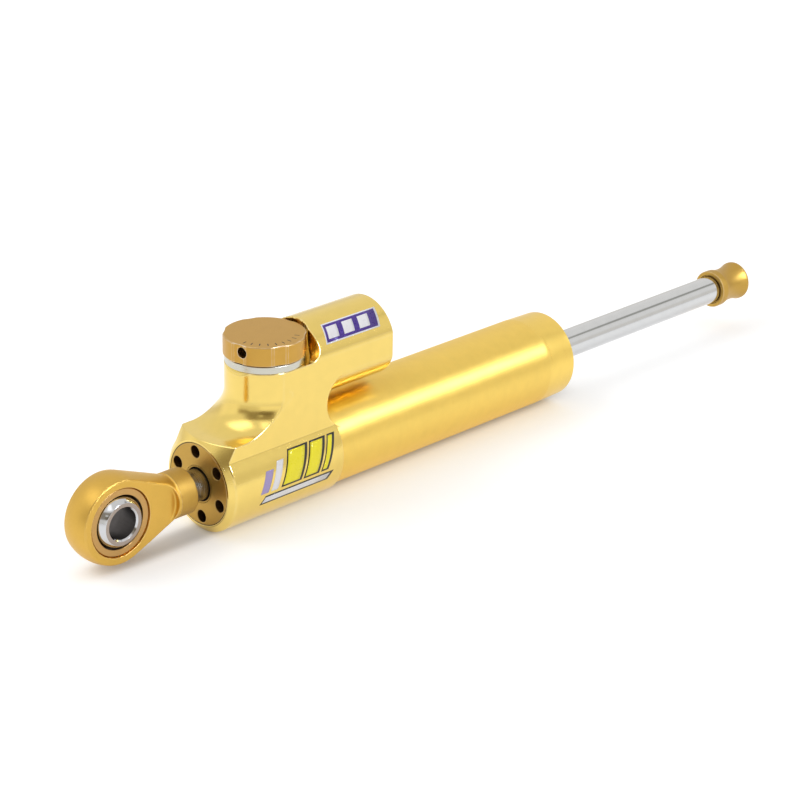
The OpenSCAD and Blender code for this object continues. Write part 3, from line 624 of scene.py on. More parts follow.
def knob_scale(net, place):
    """Printed ticks on the knob's top: one every step of its angle, between two radii, on one side."""
    parts = net.apart(net.vector("SUBTRACT", place, (X_KNOB, 0.0, Z_TOP)))
    away = net.math("SQRT", net.math("ADD", net.math("MULTIPLY", parts["X"], parts["X"]),
                                     net.math("MULTIPLY", parts["Y"], parts["Y"])))
    angle = net.math("ARCTAN2", parts["Y"], parts["X"])
    pitch, side, reach_each_way = np.radians(14), np.radians(115), np.radians(66)
    tick_r, half_long, half_wide = 0.0102, 0.0008, 0.00017
    off = net.math("MULTIPLY", net.math("PINGPONG", angle, pitch/2), away)
    band = net.math("LESS_THAN", net.math("ABSOLUTE", net.math("SUBTRACT", away, tick_r)), half_long)
    thin = net.math("LESS_THAN", off, half_wide)
    front = net.math("LESS_THAN", net.math("ABSOLUTE", net.math("ADD", angle, side)), reach_each_way)
    top = net.math("GREATER_THAN", parts["Z"], -5e-5)
    return net.math("MULTIPLY", net.math("MULTIPLY", band, thin), net.math("MULTIPLY", front, top))


RINGS_X, RINGS_Y, RINGS_Z = (6000, 60, 60), (60, 6000, 60), (60, 60, 9000)
LATHE = (9000, 40, 40)
FILM = {"metallic": 0.0, "grain": 1500.0, "grain_depth": 1.5e-6}

# Each finish: its colour, its roughness, and what else sets it apart.
FINISHES = {
    "tube_gold": ("gold_tube", 0.42, {"lines": LATHE, "line_depth": 6e-7, "wear_and_sheen": 0.35, "lathe": True}),
    "tail_gold": ("gold_tube", 0.32, {"lines": LATHE, "line_depth": 4e-7, "wear_and_sheen": 0.35}),
    "block_gold": ("gold_bright", 0.15, {"grain": 2600.0, "grain_depth": 1.8e-5, "wear_and_sheen": 0.4}),
    "satin_gold": ("gold_satin", 0.42, {"grain": 3200.0, "grain_depth": 2.2e-5, "wear_and_sheen": 0.15}),
    "neck_gold": ("gold_deep", 0.5, {"lines": LATHE, "line_depth": 1.2e-6, "swing": 0.04, "wear_and_sheen": 0.15}),
    "deep_gold": ("gold_deep", 0.40, {"grain": 3200.0, "grain_depth": 2.2e-5, "wear_and_sheen": 0.15}),
    # Painted shade: dark gold for the walls of the pin holes.
    "hole_gold": ("painted_shade_hole", 0.55, {"grain": 3200.0, "grain_depth": 6e-6, "swing": 0.15}),
    "knob_gold": ("gold_knob", 0.36, {"grain": 3500.0, "grain_depth": 1.6e-5, "wear_and_sheen": 0.6,
                                      "marks": knob_scale}),
    "hard_chrome": ("chrome", 0.09, {"lines": RINGS_X, "line_depth": 1e-7}),
    # Painted shade: darker chrome for the rod's short front end.
    "stub_chrome": ("stub", 0.28, {"lines": RINGS_X, "line_depth": 4e-7, "swing": 0.05}),
    "polished_ball": ("ball_steel", 0.09, {"lines": RINGS_Y, "line_depth": 1e-7}),
    "ground_ball_face": ("ball_face", 0.2, {"lines": (60, 60, 6000), "line_depth": 2e-7, "swing": 0.06}),
    "bare_aluminium": ("aluminium", 0.3, {"lines": RINGS_Z, "line_depth": 5e-7, "wear_and_sheen": 0.3}),
    "turned_bronze": ("bronze", 0.3, {"lines": (60, 7000, 60), "line_depth": 8e-7, "wear_and_sheen": 0.4}),
    "ground_steel": ("steel", 0.32, {"lines": (5000, 5000, 60), "line_depth": 6e-7}),
    # Painted shade: near-black steel for the ball's bore, with honing lines.
    "honed_bore": ("painted_shade_bore", 0.45, {"lines": (60, 60, 7000), "line_depth": 4e-6, "swing": 0.15}),
    "black_oxide": ("black_steel", 0.38, {"grain": 5000.0, "swing": 0.2}),
    "black_rubber": ("rubber", 0.55, {"metallic": 0.0, "grain": 3000.0, "grain_depth": 6e-6, "swing": 0.2}),
    "filled_plastic": ("plastic", 0.5, {"metallic": 0.0, "grain": 2500.0, "grain_depth": 4e-6, "swing": 0.2}),
    "yellow_film": ("label_yellow", 0.3, FILM),
    "white_film": ("label_white", 0.3, FILM),
    "lilac_film": ("label_lilac", 0.3, FILM),
    "purple_film": ("label_purple", 0.3, FILM),
    "black_film": ("label_black", 0.3, FILM),
}


def coat(name):
    """The finish of that name in the table."""
    tint, rough, details = FINISHES[name]
    return finish(name, getattr(bpy.context.scene.damper_finishes, tint), rough, **details)


class DAMPER_OT_cylinder_tube(bpy.types.Operator):
    """Cylinder tube with its clamp land, tapered tail and bore"""
    bl_idname = "damper.cylinder_tube"
    bl_label = "Cylinder Tube"

    def execute(self, context):
        s = sizes()
        front, tail = s.tube_r - s.land_relief, s.tube_r - s.tail_drop
        seat = s.rear_gland_r + FIT
        corners = [(X_SPIGOT, s.bore_r), (X_REAR, s.bore_r), (X_REAR, seat), (X_TAIL, seat), (X_TAIL, tail),
                   (s.land, s.tube_r), (-s.land, s.tube_r), (X_SOCKET, front), (X_SOCKET, s.spigot_r),
                   (X_SPIGOT, s.spigot_r)]
        radii = [1e-4, 1e-4, 1e-4, 1.5e-4, s.edge, 1e-3, 1e-3, 1e-4, 1e-4, 1e-4]
        piece = put_turned("barrel_tube", corners, radii)
        second_finish(piece, coat("tail_gold"), lambda middle: middle[:, X] > s.land)
        return {"FINISHED"}


def block_field(x, y, z):
    """The valve block: the sleeve and the flat-sided web, less the turned hollow and the slot, with the
    reservoir, inside the nose cone and less its bores."""
    s = sizes()
    e = s.edge
    out = np.hypot(y, z)
    turn = np.hypot(x - X_KNOB, y)
    res = np.hypot(y, z - s.res_z)
    across = np.abs(y) - s.half_w
    end = X_NOSE + s.sleeve_end
    slot_x = X_NOSE + s.slot_x
    sleeve = cut(out - s.sleeve_r, x - end, 1.3*e)
    web = np.minimum(np.maximum(x - end, z - s.slot_z), np.maximum(x - slot_x, z - s.res_z))
    web = np.minimum(web, np.maximum(x - X_KNOB, z - Z_BOSS))
    web = cut(np.maximum(web, -z), across, e)
    body = join(sleeve, web, e)
    hollow = np.maximum(cut(s.boss_r - turn, s.scoop_z - z, s.scoop_r), x - X_KNOB)
    body = cut(body, -hollow, e)
    body = cut(body, s.slot_r - np.hypot(x - slot_x, z - s.slot_z), e)
    tank = cut(cut(res - s.res_r, across, e), x - X_RES_END, 1.3*e)
    overlap = 0.001
    tank = np.maximum(tank, X_KNOB - overlap - x)
    pocket = np.minimum(cut(Z_BOSS - z, x - X_KNOB - s.pocket_set, s.pocket_foot),
                        np.maximum(turn - s.pocket_r, Z_BOSS - z))
    tank = cut(tank, -pocket, e)
    cone = (out - s.nose_r - (x - X_NOSE)/s.nose_slope)*s.nose_slope/np.hypot(1, s.nose_slope)
    solid = cut(np.minimum(body, tank), cone, e)
    solid = np.maximum(solid, X_NOSE - x)
    bore = np.minimum(np.maximum(out - s.gland_r - FIT, x - X_SPIGOT),
                      np.maximum(out - s.spigot_r - FIT, x - X_SOCKET))
    bore = np.minimum(bore, np.maximum(out - s.tube_r - FIT, X_SOCKET - x))
    solid = cut(solid, -bore, 0.2*e)
    solid = np.maximum(solid, -np.maximum(turn - s.valve_r, s.valve_floor - z))
    well_wall, ring_deep, ring_half = 0.003, 0.0007, 0.0005
    well = np.maximum(res - s.res_bore_r, X_KNOB + s.pocket_r + well_wall - x)
    ring = np.maximum(res - s.res_bore_r - ring_deep, np.abs(x - X_PLUG - ring_half) - ring_half)
    return np.maximum(cut(solid, -well, 0.7*e), -ring)


class DAMPER_OT_valve_block(bpy.types.Operator):
    """Valve block with its sleeve, turret, hollow, slot and reservoir"""
    bl_idname = "damper.valve_block"
    bl_label = "Valve Block"

    def execute(self, context):
        s = sizes()
        pad = 2*s.coarse
        spacing = (s.fine, s.coarse, 0.0008)
        cone_end, end, flat_foot = X_NOSE + 0.0016, X_NOSE + s.sleeve_end, 0.0101
        x = graded(X_NOSE - pad, X_RES_END + pad,
                   [X_NOSE, cone_end, end, X_KNOB + s.pocket_set, X_RES_END, X_KNOB - s.boss_r], *spacing)
        y = graded(-s.sleeve_r - pad, s.sleeve_r + pad, [-s.half_w, s.half_w], *spacing)
        z = graded(-s.sleeve_r - pad, s.res_z + s.res_r + pad, [s.scoop_z, Z_BOSS, flat_foot], *spacing)
        proud, deep = 6e-6, 9e-4
        near, far = s.gland_r + FIT, s.nose_r + 6e-4
        mouth = rounded([(X_NOSE - proud, near), (X_NOSE + deep, near), (X_NOSE + deep, far - 2e-4),
                         (X_NOSE + (far - s.nose_r)*s.nose_slope - proud, far), (X_NOSE - proud, s.nose_r)],
                        [1.2e-4, 1e-5, 1e-5, 1e-5, 6e-5], 3)
        put_net("machined_block", block_field, (x, y, z), turned(mouth, "x"))
        return {"FINISHED"}


GLAND_LENGTH = 0.018
RIM_DEPTH, RIM_STEP = 0.0008, 0.00018
MOUTH_DEPTH = 0.0005
SEAT_DEPTH, SEAT_R = 0.004, 0.00637
ROD_HOLE_R = 0.0056
GROOVE_AT, GROOVE_HALF, GROOVE_DEEP = 0.0127, 0.0012, 0.0016
PIN_DEPTH, PIN_TURN = 0.005, np.radians(-7)


def pin_away(y, z, way, radius):
    """Distance from the nearest of a gland's six pin holes' axes."""
    out = np.hypot(y, z)
    turn = np.arctan2(-y*way, z) - PIN_TURN
    turn = (turn + np.pi/6) % (np.pi/3) - np.pi/6
    return np.hypot(out*np.cos(turn) - (radius - sizes().pin_inset), out*np.sin(turn))


def gland_field(face, way, radius):
    """A gland: a bar with a rounded rim, less its mouth, the wiper's seat, the rod's hole, a groove
    and the pin holes."""
    s = sizes()

    def field(x, y, z):
        depth = way*(x - face)
        out = np.hypot(y, z)
        rim = np.where(depth < RIM_DEPTH, radius - RIM_STEP, radius)
        solid = cut(cut(out - rim, -depth, 0.5*s.edge), depth - GLAND_LENGTH, s.edge)
        hole = np.where(depth < MOUTH_DEPTH, s.mouth_r, np.where(depth < SEAT_DEPTH, SEAT_R, ROD_HOLE_R))
        solid = cut(solid, hole - out, 0.4*s.edge)
        groove = np.maximum(np.abs(depth - GROOVE_AT) - GROOVE_HALF, radius - GROOVE_DEEP - out)
        solid = np.maximum(solid, -groove)
        pin = np.maximum(pin_away(y, z, way, radius) - s.pin_hole_r, depth - PIN_DEPTH)
        return cut(solid, -pin, 0.5*s.edge)
    return field


class DAMPER_OT_glands(bpy.types.Operator):
    """Both glands with their pin holes, and the wipers in them"""
    bl_idname = "damper.glands"
    bl_label = "Glands and Wipers"

    def execute(self, context):
        s = sizes()
        for name, face, way, radius in (("front_gland_nut", X_NOSE, 1.0, s.gland_r),
                                        ("rear_gland_nut", X_TAIL, -1.0, s.rear_gland_r)):
            pad = 0.0006
            ends = sorted((face - way*pad, face + way*(GLAND_LENGTH + pad)))
            x = graded(*ends, [face], 0.00014, 0.0006, 0.0008)
            r = graded(s.mouth_r - pad, radius + pad, [s.mouth_r, radius], 0.00014, 0.0003, 0.0005)
            nut = put_round_net(name, gland_field(face, way, radius), x, r, 0.8*radius)

            # Painted shade: faces inside the pin holes get the dark gold.
            def in_painted_shade_hole(middle):
                away = pin_away(middle[:, Y], middle[:, Z], way, radius)
                return (way*(middle[:, X] - face) > 0.0003) & (away < s.pin_hole_r + 5e-5)

            second_finish(nut, coat("hole_gold"), in_painted_shade_hole)
        for name, face, way in (("front_wiper_lip", X_NOSE, 1.0), ("rear_wiper_lip", X_TAIL, -1.0)):
            lip, bevel, back = 0.0006, 0.0008, 0.00398
            near, far = s.rod_r + 5e-5, s.rod_r + 0.00135
            section = [(lip + bevel, near), (back, near), (back, far), (lip, far), (lip, near + bevel)]
            corners = [(face + way*a, r) for a, r in section][::int(way)]
            put_turned(name, corners, 1.2e-4)
        return {"FINISHED"}


# Depth of the eye's socket, and how much thinner the rod is in it.
SOCKET_DEPTH, SOCKET_STEP = 0.010, 0.001


class DAMPER_OT_rod(bpy.types.Operator):
    """Chromed rod with the grooves of the piston's clips"""
    bl_idname = "damper.rod"
    bl_label = "Rod"

    def execute(self, context):
        s = sizes()
        stub_end, tip, tip_r = X_NOSE + 0.002, X_NECK - 0.009, s.rod_r - SOCKET_STEP
        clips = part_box("piston_clips")
        first, last = float(clips[LOW][X]) - FIT, float(clips[HIGH][X]) + FIT
        wide, root = 0.0012, s.rod_r - 0.0005
        corners = [(X_ROD, 0), (X_ROD, s.rod_r),
                   (last, s.rod_r), (last, root), (last - wide, root), (last - wide, s.rod_r),
                   (first + wide, s.rod_r), (first + wide, root), (first, root), (first, s.rod_r),
                   (stub_end, s.rod_r - 1e-6), (X_NECK + FIT, s.rod_r), (X_NECK + FIT, tip_r),
                   (tip, tip_r), (tip, 0)]
        radii = [0, 0.0004] + 9*[5e-5] + [1e-4, 1e-4, 3e-4, 0]
        piece = put_bar("chromed_rod", corners, radii)
        # Painted shade: the short front end gets the darker chrome.
        second_finish(piece, coat("stub_chrome"), lambda middle: middle[:, X] < stub_end)
        return {"FINISHED"}


def eye_field(x, y, z):
    """The eye: a ball, a cone tangent to it and a neck, less the milled flats, the race's seat and the
    rod's socket."""
    s = sizes()
    e = s.edge
    out = np.hypot(y, z)
    ahead = x - X_EYE
    shank = X_NECK - s.neck_len - X_EYE
    neck_step, mill_r, mill_stop = 0.0004, 0.010, 0.0006
    shank_r = s.neck_r - neck_step
    lean = np.arctan2(shank_r, shank) + np.arccos(s.head_r/np.hypot(shank, shank_r))
    ball = np.sqrt(ahead**2 + out**2) - s.head_r
    cone = ahead*np.cos(lean) + out*np.sin(lean) - s.head_r
    cone = np.maximum(cone, np.maximum(ahead - shank, s.head_r*np.cos(lean) - ahead))
    neck = cut(np.maximum(out - s.neck_r, shank - ahead), x - X_NECK, 1.3*e)
    blank = join(np.minimum(ball, cone), neck, 2*e)
    stop = shank - mill_stop - mill_r
    plan = np.minimum(ahead - stop, np.hypot(ahead - stop, z) - mill_r)
    solid = cut(blank, -cut(s.flat - np.abs(y), plan, 2*e), 1.5*e)
    seat = np.hypot(ahead, z) - s.race_r - FIT
    solid = cut(solid, -seat, 0.5*e)
    return np.maximum(solid, -np.maximum(out - s.rod_r + SOCKET_STEP - FIT, X_NECK - SOCKET_DEPTH - x))


class DAMPER_OT_rod_eye(bpy.types.Operator):
    """Rod eye with its milled flats"""
    bl_idname = "damper.rod_eye"
    bl_label = "Rod Eye"

    def execute(self, context):
        s = sizes()
        pad = 0.0006
        x = graded(X_EYE - s.head_r - pad, X_NECK + pad, [X_NECK - s.neck_len, X_NECK], 0.0002, 0.0003, 0.001)
        y = graded(-s.neck_r - pad, s.neck_r + pad, [-s.flat, s.flat], 0.0002, 0.0003, 0.0007)
        z = graded(-s.head_r - pad, s.head_r + pad, [0.0], 0.0003, 0.0003, 0.001)
        eye = put_net("milled_eye", eye_field, (x, y, z))
        second_finish(eye, coat("neck_gold"), lambda middle: middle[:, X] > X_NECK - s.neck_len)
        return {"FINISHED"}


def ball_arc(radius, half, count):
    """Half section of a ball between two faces: radius times (sin, cos) of an even run of angles."""
    limit = np.arcsin(half/radius)
    angle = np.linspace(-limit, limit, count)
    return np.stack([radius*np.sin(angle), radius*np.cos(angle)], axis=1)


def arc_band(outer, inner):
    """Closed half section of two runs of points, with normals square to its sides."""
    points = np.concatenate([inner, outer[::-1]])
    ahead, behind = np.roll(points, -1, axis=0), np.roll(points, 1, axis=0)
    along = ahead - behind
    normals = np.stack([along[:, 1], -along[:, 0]], axis=1)
    normals /= np.linalg.norm(normals, axis=1)[:, None]
    return points, normals, np.zeros(len(points))


def bevelled(half, radius, bevel, guard):
    """Half section of a straight wall between two faces, bevelled at both ends, outwards where the bevel is
    above nothing. A guard point before and after each bevel keeps the normals square to the faces."""
    run = abs(bevel)
    start = np.array([[-half, radius + bevel + guard*np.sign(bevel)], [-half, radius + bevel],
                      [-half + run, radius], [-half + run + guard, radius]])
    return np.concatenate([start, start[::-1]*(-1, 1)])


def lipped(arc, half, step, guard):
    """An arc that goes on to the two faces, a step away in radius, with a guard point after each."""
    face = np.array([-half, half])
    lip = arc[[0, -1], 1] + step
    near, far = np.stack([face, lip], axis=1), np.stack([face, lip + guard], axis=1)
    return np.concatenate([far[:1], near[:1], arc, near[1:], far[1:]])


class DAMPER_OT_bearing(bpy.types.Operator):
    """Race, liner and ball of the eye's bearing"""
    bl_idname = "damper.bearing"
    bl_label = "Bearing"

    def execute(self, context):
        s = sizes()
        play, guard = 3e-5, 2e-5
        race_lip, race_bevel = 1.5e-4, 4e-4
        ball_lip, bolt_bevel = 1e-4, 5e-4
        liner_in = s.ball_r + play
        liner_out = liner_in + 0.00045
        liner_half = s.race_half - 0.0015
        seat = ball_arc(liner_out + play, s.race_half - race_lip, 40)
        race = arc_band(bevelled(s.race_half, s.race_r, -race_bevel, guard),
                        lipped(seat, s.race_half, race_lip, guard))
        liner = arc_band(ball_arc(liner_out, liner_half, 24), ball_arc(liner_in, liner_half, 24))
        crown = ball_arc(s.ball_r, s.ball_half - ball_lip, 64)
        ball = arc_band(lipped(crown, s.ball_half, -ball_lip, -ball_lip - guard),
                        bevelled(s.ball_half, s.bolt_r, bolt_bevel, guard))
        for name, section in (("bearing_race_ring", race), ("bearing_liner_band", liner),
                              ("bearing_ball_ring", ball)):
            piece = put(name, make_mesh(name, *turned(section, "y", (X_EYE, 0, 0))))
        bore_edge, face_edge = s.bolt_r + 1e-4, s.ball_half - 1e-5
        # Painted shade: the bore's faces get the near-black steel.
        second_finish(piece, coat("honed_bore"),
                      lambda middle: np.hypot(middle[:, X] - X_EYE, middle[:, Z]) < bore_edge)
        second_finish(piece, coat("ground_ball_face"), lambda middle: np.abs(middle[:, Y]) > face_edge)
        return {"FINISHED"}


def knob_field(x, y, z):
    """The knob: a short bar with a rounded rim and six scallops, less its bores and grub hole."""
    s = sizes()
    e = s.edge
    turn = np.hypot(x - X_KNOB, y)
    solid = cut(cut(turn - s.knob_r, z - Z_TOP, 1.3*e), Z_KNOB - z, e)
    first_scallop, grub_turn, grub_height = np.radians(190), np.radians(195), 0.00378
    bore_r, roof, track_r, track_half, track_deep = 0.00402, 0.0014, 0.0063, 0.00155, 0.0009
    angle = np.arctan2(y, x - X_KNOB) - first_scallop
    angle = (angle + np.pi/6) % (np.pi/3) - np.pi/6
    scallop_r = (s.scallop_w**2/4 + s.scallop_depth**2)/(2*s.scallop_depth)
    off = s.knob_r - s.scallop_depth + scallop_r
    scallop = scallop_r - np.hypot(turn*np.cos(angle) - off, turn*np.sin(angle))
    solid = cut(solid, scallop, 0.7*e)
    bore = np.maximum(turn - bore_r, z - Z_TOP + roof)
    track = np.maximum(np.abs(turn - track_r) - track_half, z - Z_KNOB - track_deep)
    solid = np.maximum(solid, -np.minimum(bore, track))
    along = (x - X_KNOB)*np.cos(grub_turn) + y*np.sin(grub_turn)
    aside = y*np.cos(grub_turn) - (x - X_KNOB)*np.sin(grub_turn)
    hole = np.maximum(np.hypot(aside, z - Z_KNOB - grub_height) - s.grub_r, -along)
    return cut(solid, -hole, 0.6*e)


class DAMPER_OT_knob(bpy.types.Operator):
    """Adjuster knob, its scale and the ring under it"""
    bl_idname = "damper.knob"
    bl_label = "Adjuster Knob"

    def execute(self, context):
        s = sizes()
        pad = 0.0006
        x = graded(X_KNOB - s.knob_r - pad, X_KNOB + s.knob_r + pad, [X_KNOB], 0.00022, 0.00022, 0.01)
        z = graded(Z_KNOB - pad, Z_TOP + pad, [Z_KNOB, Z_TOP], 0.00016, 0.0003, 0.0006)
        put_net("scalloped_knob", knob_field, (x, x - X_KNOB, z))
        inner, outer = 0.0043, s.half_w
        corners = [(Z_BOSS, inner), (Z_RING, inner), (Z_RING, outer), (Z_BOSS, outer)]
        put_turned("silver_index_ring", corners, [1e-4, 1e-4, 2.5e-4, 2.5e-4], "z", (X_KNOB, 0, 0))
        return {"FINISHED"}


class DAMPER_OT_end_cap(bpy.types.Operator):
    """Waisted cap on the rod's far end"""
    bl_idname = "damper.end_cap"
    bl_label = "End Cap"

    def execute(self, context):
        s = sizes()
        lip, waist, flare = s.rod_r + 0.00175, s.rod_r + 0.00095, s.rod_r + 0.0019
        lip_end, flare_start = X_CAP + 0.0024, X_END - 0.001
        mouth, mouth_r = X_CAP + 8e-4, s.rod_r + 4e-4
        middle, length = 0.5*(flare_start + lip_end), flare_start - lip_end
        rise = flare - waist
        hollow = (length**2/4 + rise**2)/(2*rise)
        t = np.linspace(flare_start, lip_end, 41)
        curve = waist + hollow - np.sqrt(hollow**2 - (t - middle)**2)
        keep = (curve < lip) | (t > middle)
        keep[0] = False
        bore = s.rod_r + FIT
        wall = list(zip(t[keep], curve[keep]))
        corners = [(X_END, 0), (X_END, flare), (flare_start, flare)] + wall
        corners += [(lip_end, lip), (X_CAP, lip), (X_CAP, mouth_r), (mouth, mouth_r), (mouth, bore),
                    (X_ROD + FIT, bore), (X_ROD + FIT, 0)]
        radii = [0, 4e-4, 1e-4] + len(wall)*[5e-4] + [3e-4, 4e-4, 2e-4, 1e-4, 1e-4, 1e-4, 0]
        put_bar("waisted_cap", corners, radii)
        return {"FINISHED"}


def coil(radius, wire, low, high, turns, axis, centre):
    """A round wire carried along a helix: the path's point is radius times (cos, sin) of the turn across the
    axis and an even rise along it, the wire's ring lies across the path, and fans close both ends."""
    basis = AXES[axis]
    steps, sides = 48*turns, 12
    t = np.linspace(0, 1, steps + 1)
    turn = 2*np.pi*turns*t[:, None]
    out = np.cos(turn)*basis[1] + np.sin(turn)*basis[2]
    path = np.array(centre) + radius*out + (low + wire + t*(high - low - 2*wire))[:, None]*basis[0]
    along = np.gradient(path, axis=0)
    along /= np.linalg.norm(along, axis=1)[:, None]
    over = np.cross(along, out)
    angle = 2*np.pi*np.arange(sides)/sides
    ring = np.cos(angle)[:, None]*out[:, None] + np.sin(angle)[:, None]*over[:, None]
    points = (path[:, None] + wire*ring).reshape(-1, 3)
    quads = grid_quads(steps + 1, sides, round_columns=True)[:, [0, 3, 2, 1]]
    fans = end_fans(len(points), sides)[:, ::-1]
    normals = np.concatenate([ring.reshape(-1, 3), [-along[0], along[-1]]])
    return np.concatenate([points, path[[0, -1]]]), quads, normals, np.zeros(len(points) + 2), fans


class DAMPER_OT_springs(bpy.types.Operator):
    """Springs of the reservoir and of the knob's detent"""
    bl_idname = "damper.springs"
    bl_label = "Springs"

    def execute(self, context):
        rows = [("reservoir_coil", "compensator_slide", "x", 0.0006, 4, HIGH),
                ("detent_coil", "detent_press", "z", 0.00015, 3, LOW)]
        for name, joint, axis, wire, turns, held in rows:
            way = AXES[axis][0]
            box = np.array(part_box(PIECES[name][-1]), dtype=float)
            low, high = box @ way
            middle = box.mean(axis=0)*(1 - way)
            radius = 0.5*(box[HIGH, Y] - box[LOW, Y]) - wire
            piece = put(name, make_mesh(name, *coil(radius, wire, low, high, turns, axis, middle)))
            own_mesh(piece)
        return {"FINISHED"}


def patch(x0, x1, a0, a1, lean, radius, height, lift, across=5, around=24):
    """A sheet on a lying cylinder: x runs from x0 to x1 and leans with height, the angle from a0 to a1."""
    u, v = np.meshgrid(np.linspace(0, 1, across), np.linspace(0, 1, around), indexing="ij")
    x = x0 + u*(x1 - x0) + lean*v
    angle = np.radians(a0 + v*(a1 - a0))
    out = np.stack([0*angle, -np.cos(angle), np.sin(angle)], axis=2)
    place = np.stack([x, 0*x, 0*x + height], axis=2) + (radius + lift)*out
    return place.reshape(-1, 3), grid_quads(across, around), out.reshape(-1, 3), np.zeros(across*around)


class DAMPER_OT_labels(bpy.types.Operator):
    """Plain striped labels on the sleeve and the reservoir"""
    bl_idname = "damper.labels"
    bl_label = "Labels"

    def execute(self, context):
        s = sizes()
        sleeve = (s.sleeve_r, 0.0)
        tank = (s.res_r, s.res_z)
        low, middle, high = 1.0e-5, 2.0e-5, 3.0e-5
        # Name, both ends along x, both angles in degrees, lean, what it lies on, height over it, and colour.
        rows = [
            ("side_band_black", -0.0966, -0.0682, -21.5, -10.5, 0.0020, sleeve, low, "black"),
            ("side_band_white", -0.0958, -0.0690, -19.5, -12.5, 0.0013, sleeve, middle, "white"),
            ("side_stripe_lilac", -0.0968, -0.0936, -7, 18, 0.0028, sleeve, low, "lilac"),
            ("side_stripe_white", -0.0926, -0.0898, -7, 25, 0.0036, sleeve, low, "white"),
            ("side_bar_a_black", -0.0884, -0.0800, -7, 33, 0.0046, sleeve, low, "black"),
            ("side_bar_a_yellow", -0.0876, -0.0808, -5, 31, 0.0041, sleeve, middle, "yellow"),
            ("side_bar_b_black", -0.0792, -0.0726, -7, 33, 0.0046, sleeve, low, "black"),
            ("side_bar_b_yellow", -0.0784, -0.0734, -5, 31, 0.0041, sleeve, middle, "yellow"),
            ("side_bar_c_black", -0.0718, -0.0686, -7, 33, 0.0046, sleeve, low, "black"),
            ("side_bar_c_yellow", -0.0711, -0.0693, -5, 31, 0.0041, sleeve, middle, "yellow"),
            ("tank_plate_white", -0.0652, -0.0422, 32, 62, 0.0020, tank, low, "white"),
            ("tank_plate_purple", -0.0646, -0.0428, 34, 60, 0.0017, tank, middle, "purple"),
            ("tank_stripe_a", -0.0634, -0.0590, 38, 56, 0.0012, tank, high, "white"),
            ("tank_stripe_b", -0.0568, -0.0524, 38, 56, 0.0012, tank, high, "white"),
            ("tank_stripe_c", -0.0502, -0.0458, 38, 56, 0.0012, tank, high, "white"),
        ]
        for name, x0, x1, a0, a1, lean, (radius, height), lift, shade in rows:
            piece = linked(name, make_mesh(name, *patch(x0, x1, a0, a1, lean, radius, height, lift)))
            piece.data.materials.append(coat(shade + "_film"))
            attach(piece, "barrel")
            wall = piece.modifiers.new("film", "SOLIDIFY")
            wall.thickness = 8e-6
            wall.offset = -1.0
        return {"FINISHED"}


class DAMPER_OT_node_finishes(bpy.types.Operator):
    """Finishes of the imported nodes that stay"""
    bl_idname = "damper.node_finishes"
    bl_label = "Finishes of Inner Pieces"

    def execute(self, context):
        by_slot = {"gold_bright": "block_gold", "gold_satin": "satin_gold", "chrome": "hard_chrome",
                   "plain_aluminium": "bare_aluminium", "steel": "ground_steel", "bronze": "turned_bronze",
                   "black_steel": "black_oxide", "rubber": "black_rubber", "liner": "filled_plastic",
                   "slide_ring": "filled_plastic", "seal": "filled_plastic"}
        slots = {row["node"]: row["material_slot"] for row in frame["record"]["subparts"]}
        for name, node in frame["nodes"].items():
            node.data.materials.clear()
            node.data.materials.append(coat(by_slot[slots[name]]))
        return {"FINISHED"}


def heading(turn, rise):
    """Unit vector at a compass turn and a rise, in radians."""
    return np.array([np.cos(rise)*np.cos(turn), np.cos(rise)*np.sin(turn), np.sin(rise)])


def stand(thing, axes, place):
    """Stands a lamp or camera at a place, with its own axes along the three given."""
    turned_to = np.eye(4)
    turned_to[:3, :3] = np.stack(axes, axis=1)
    turned_to[:3, 3] = place
    thing.matrix_world = Matrix(turned_to.tolist())


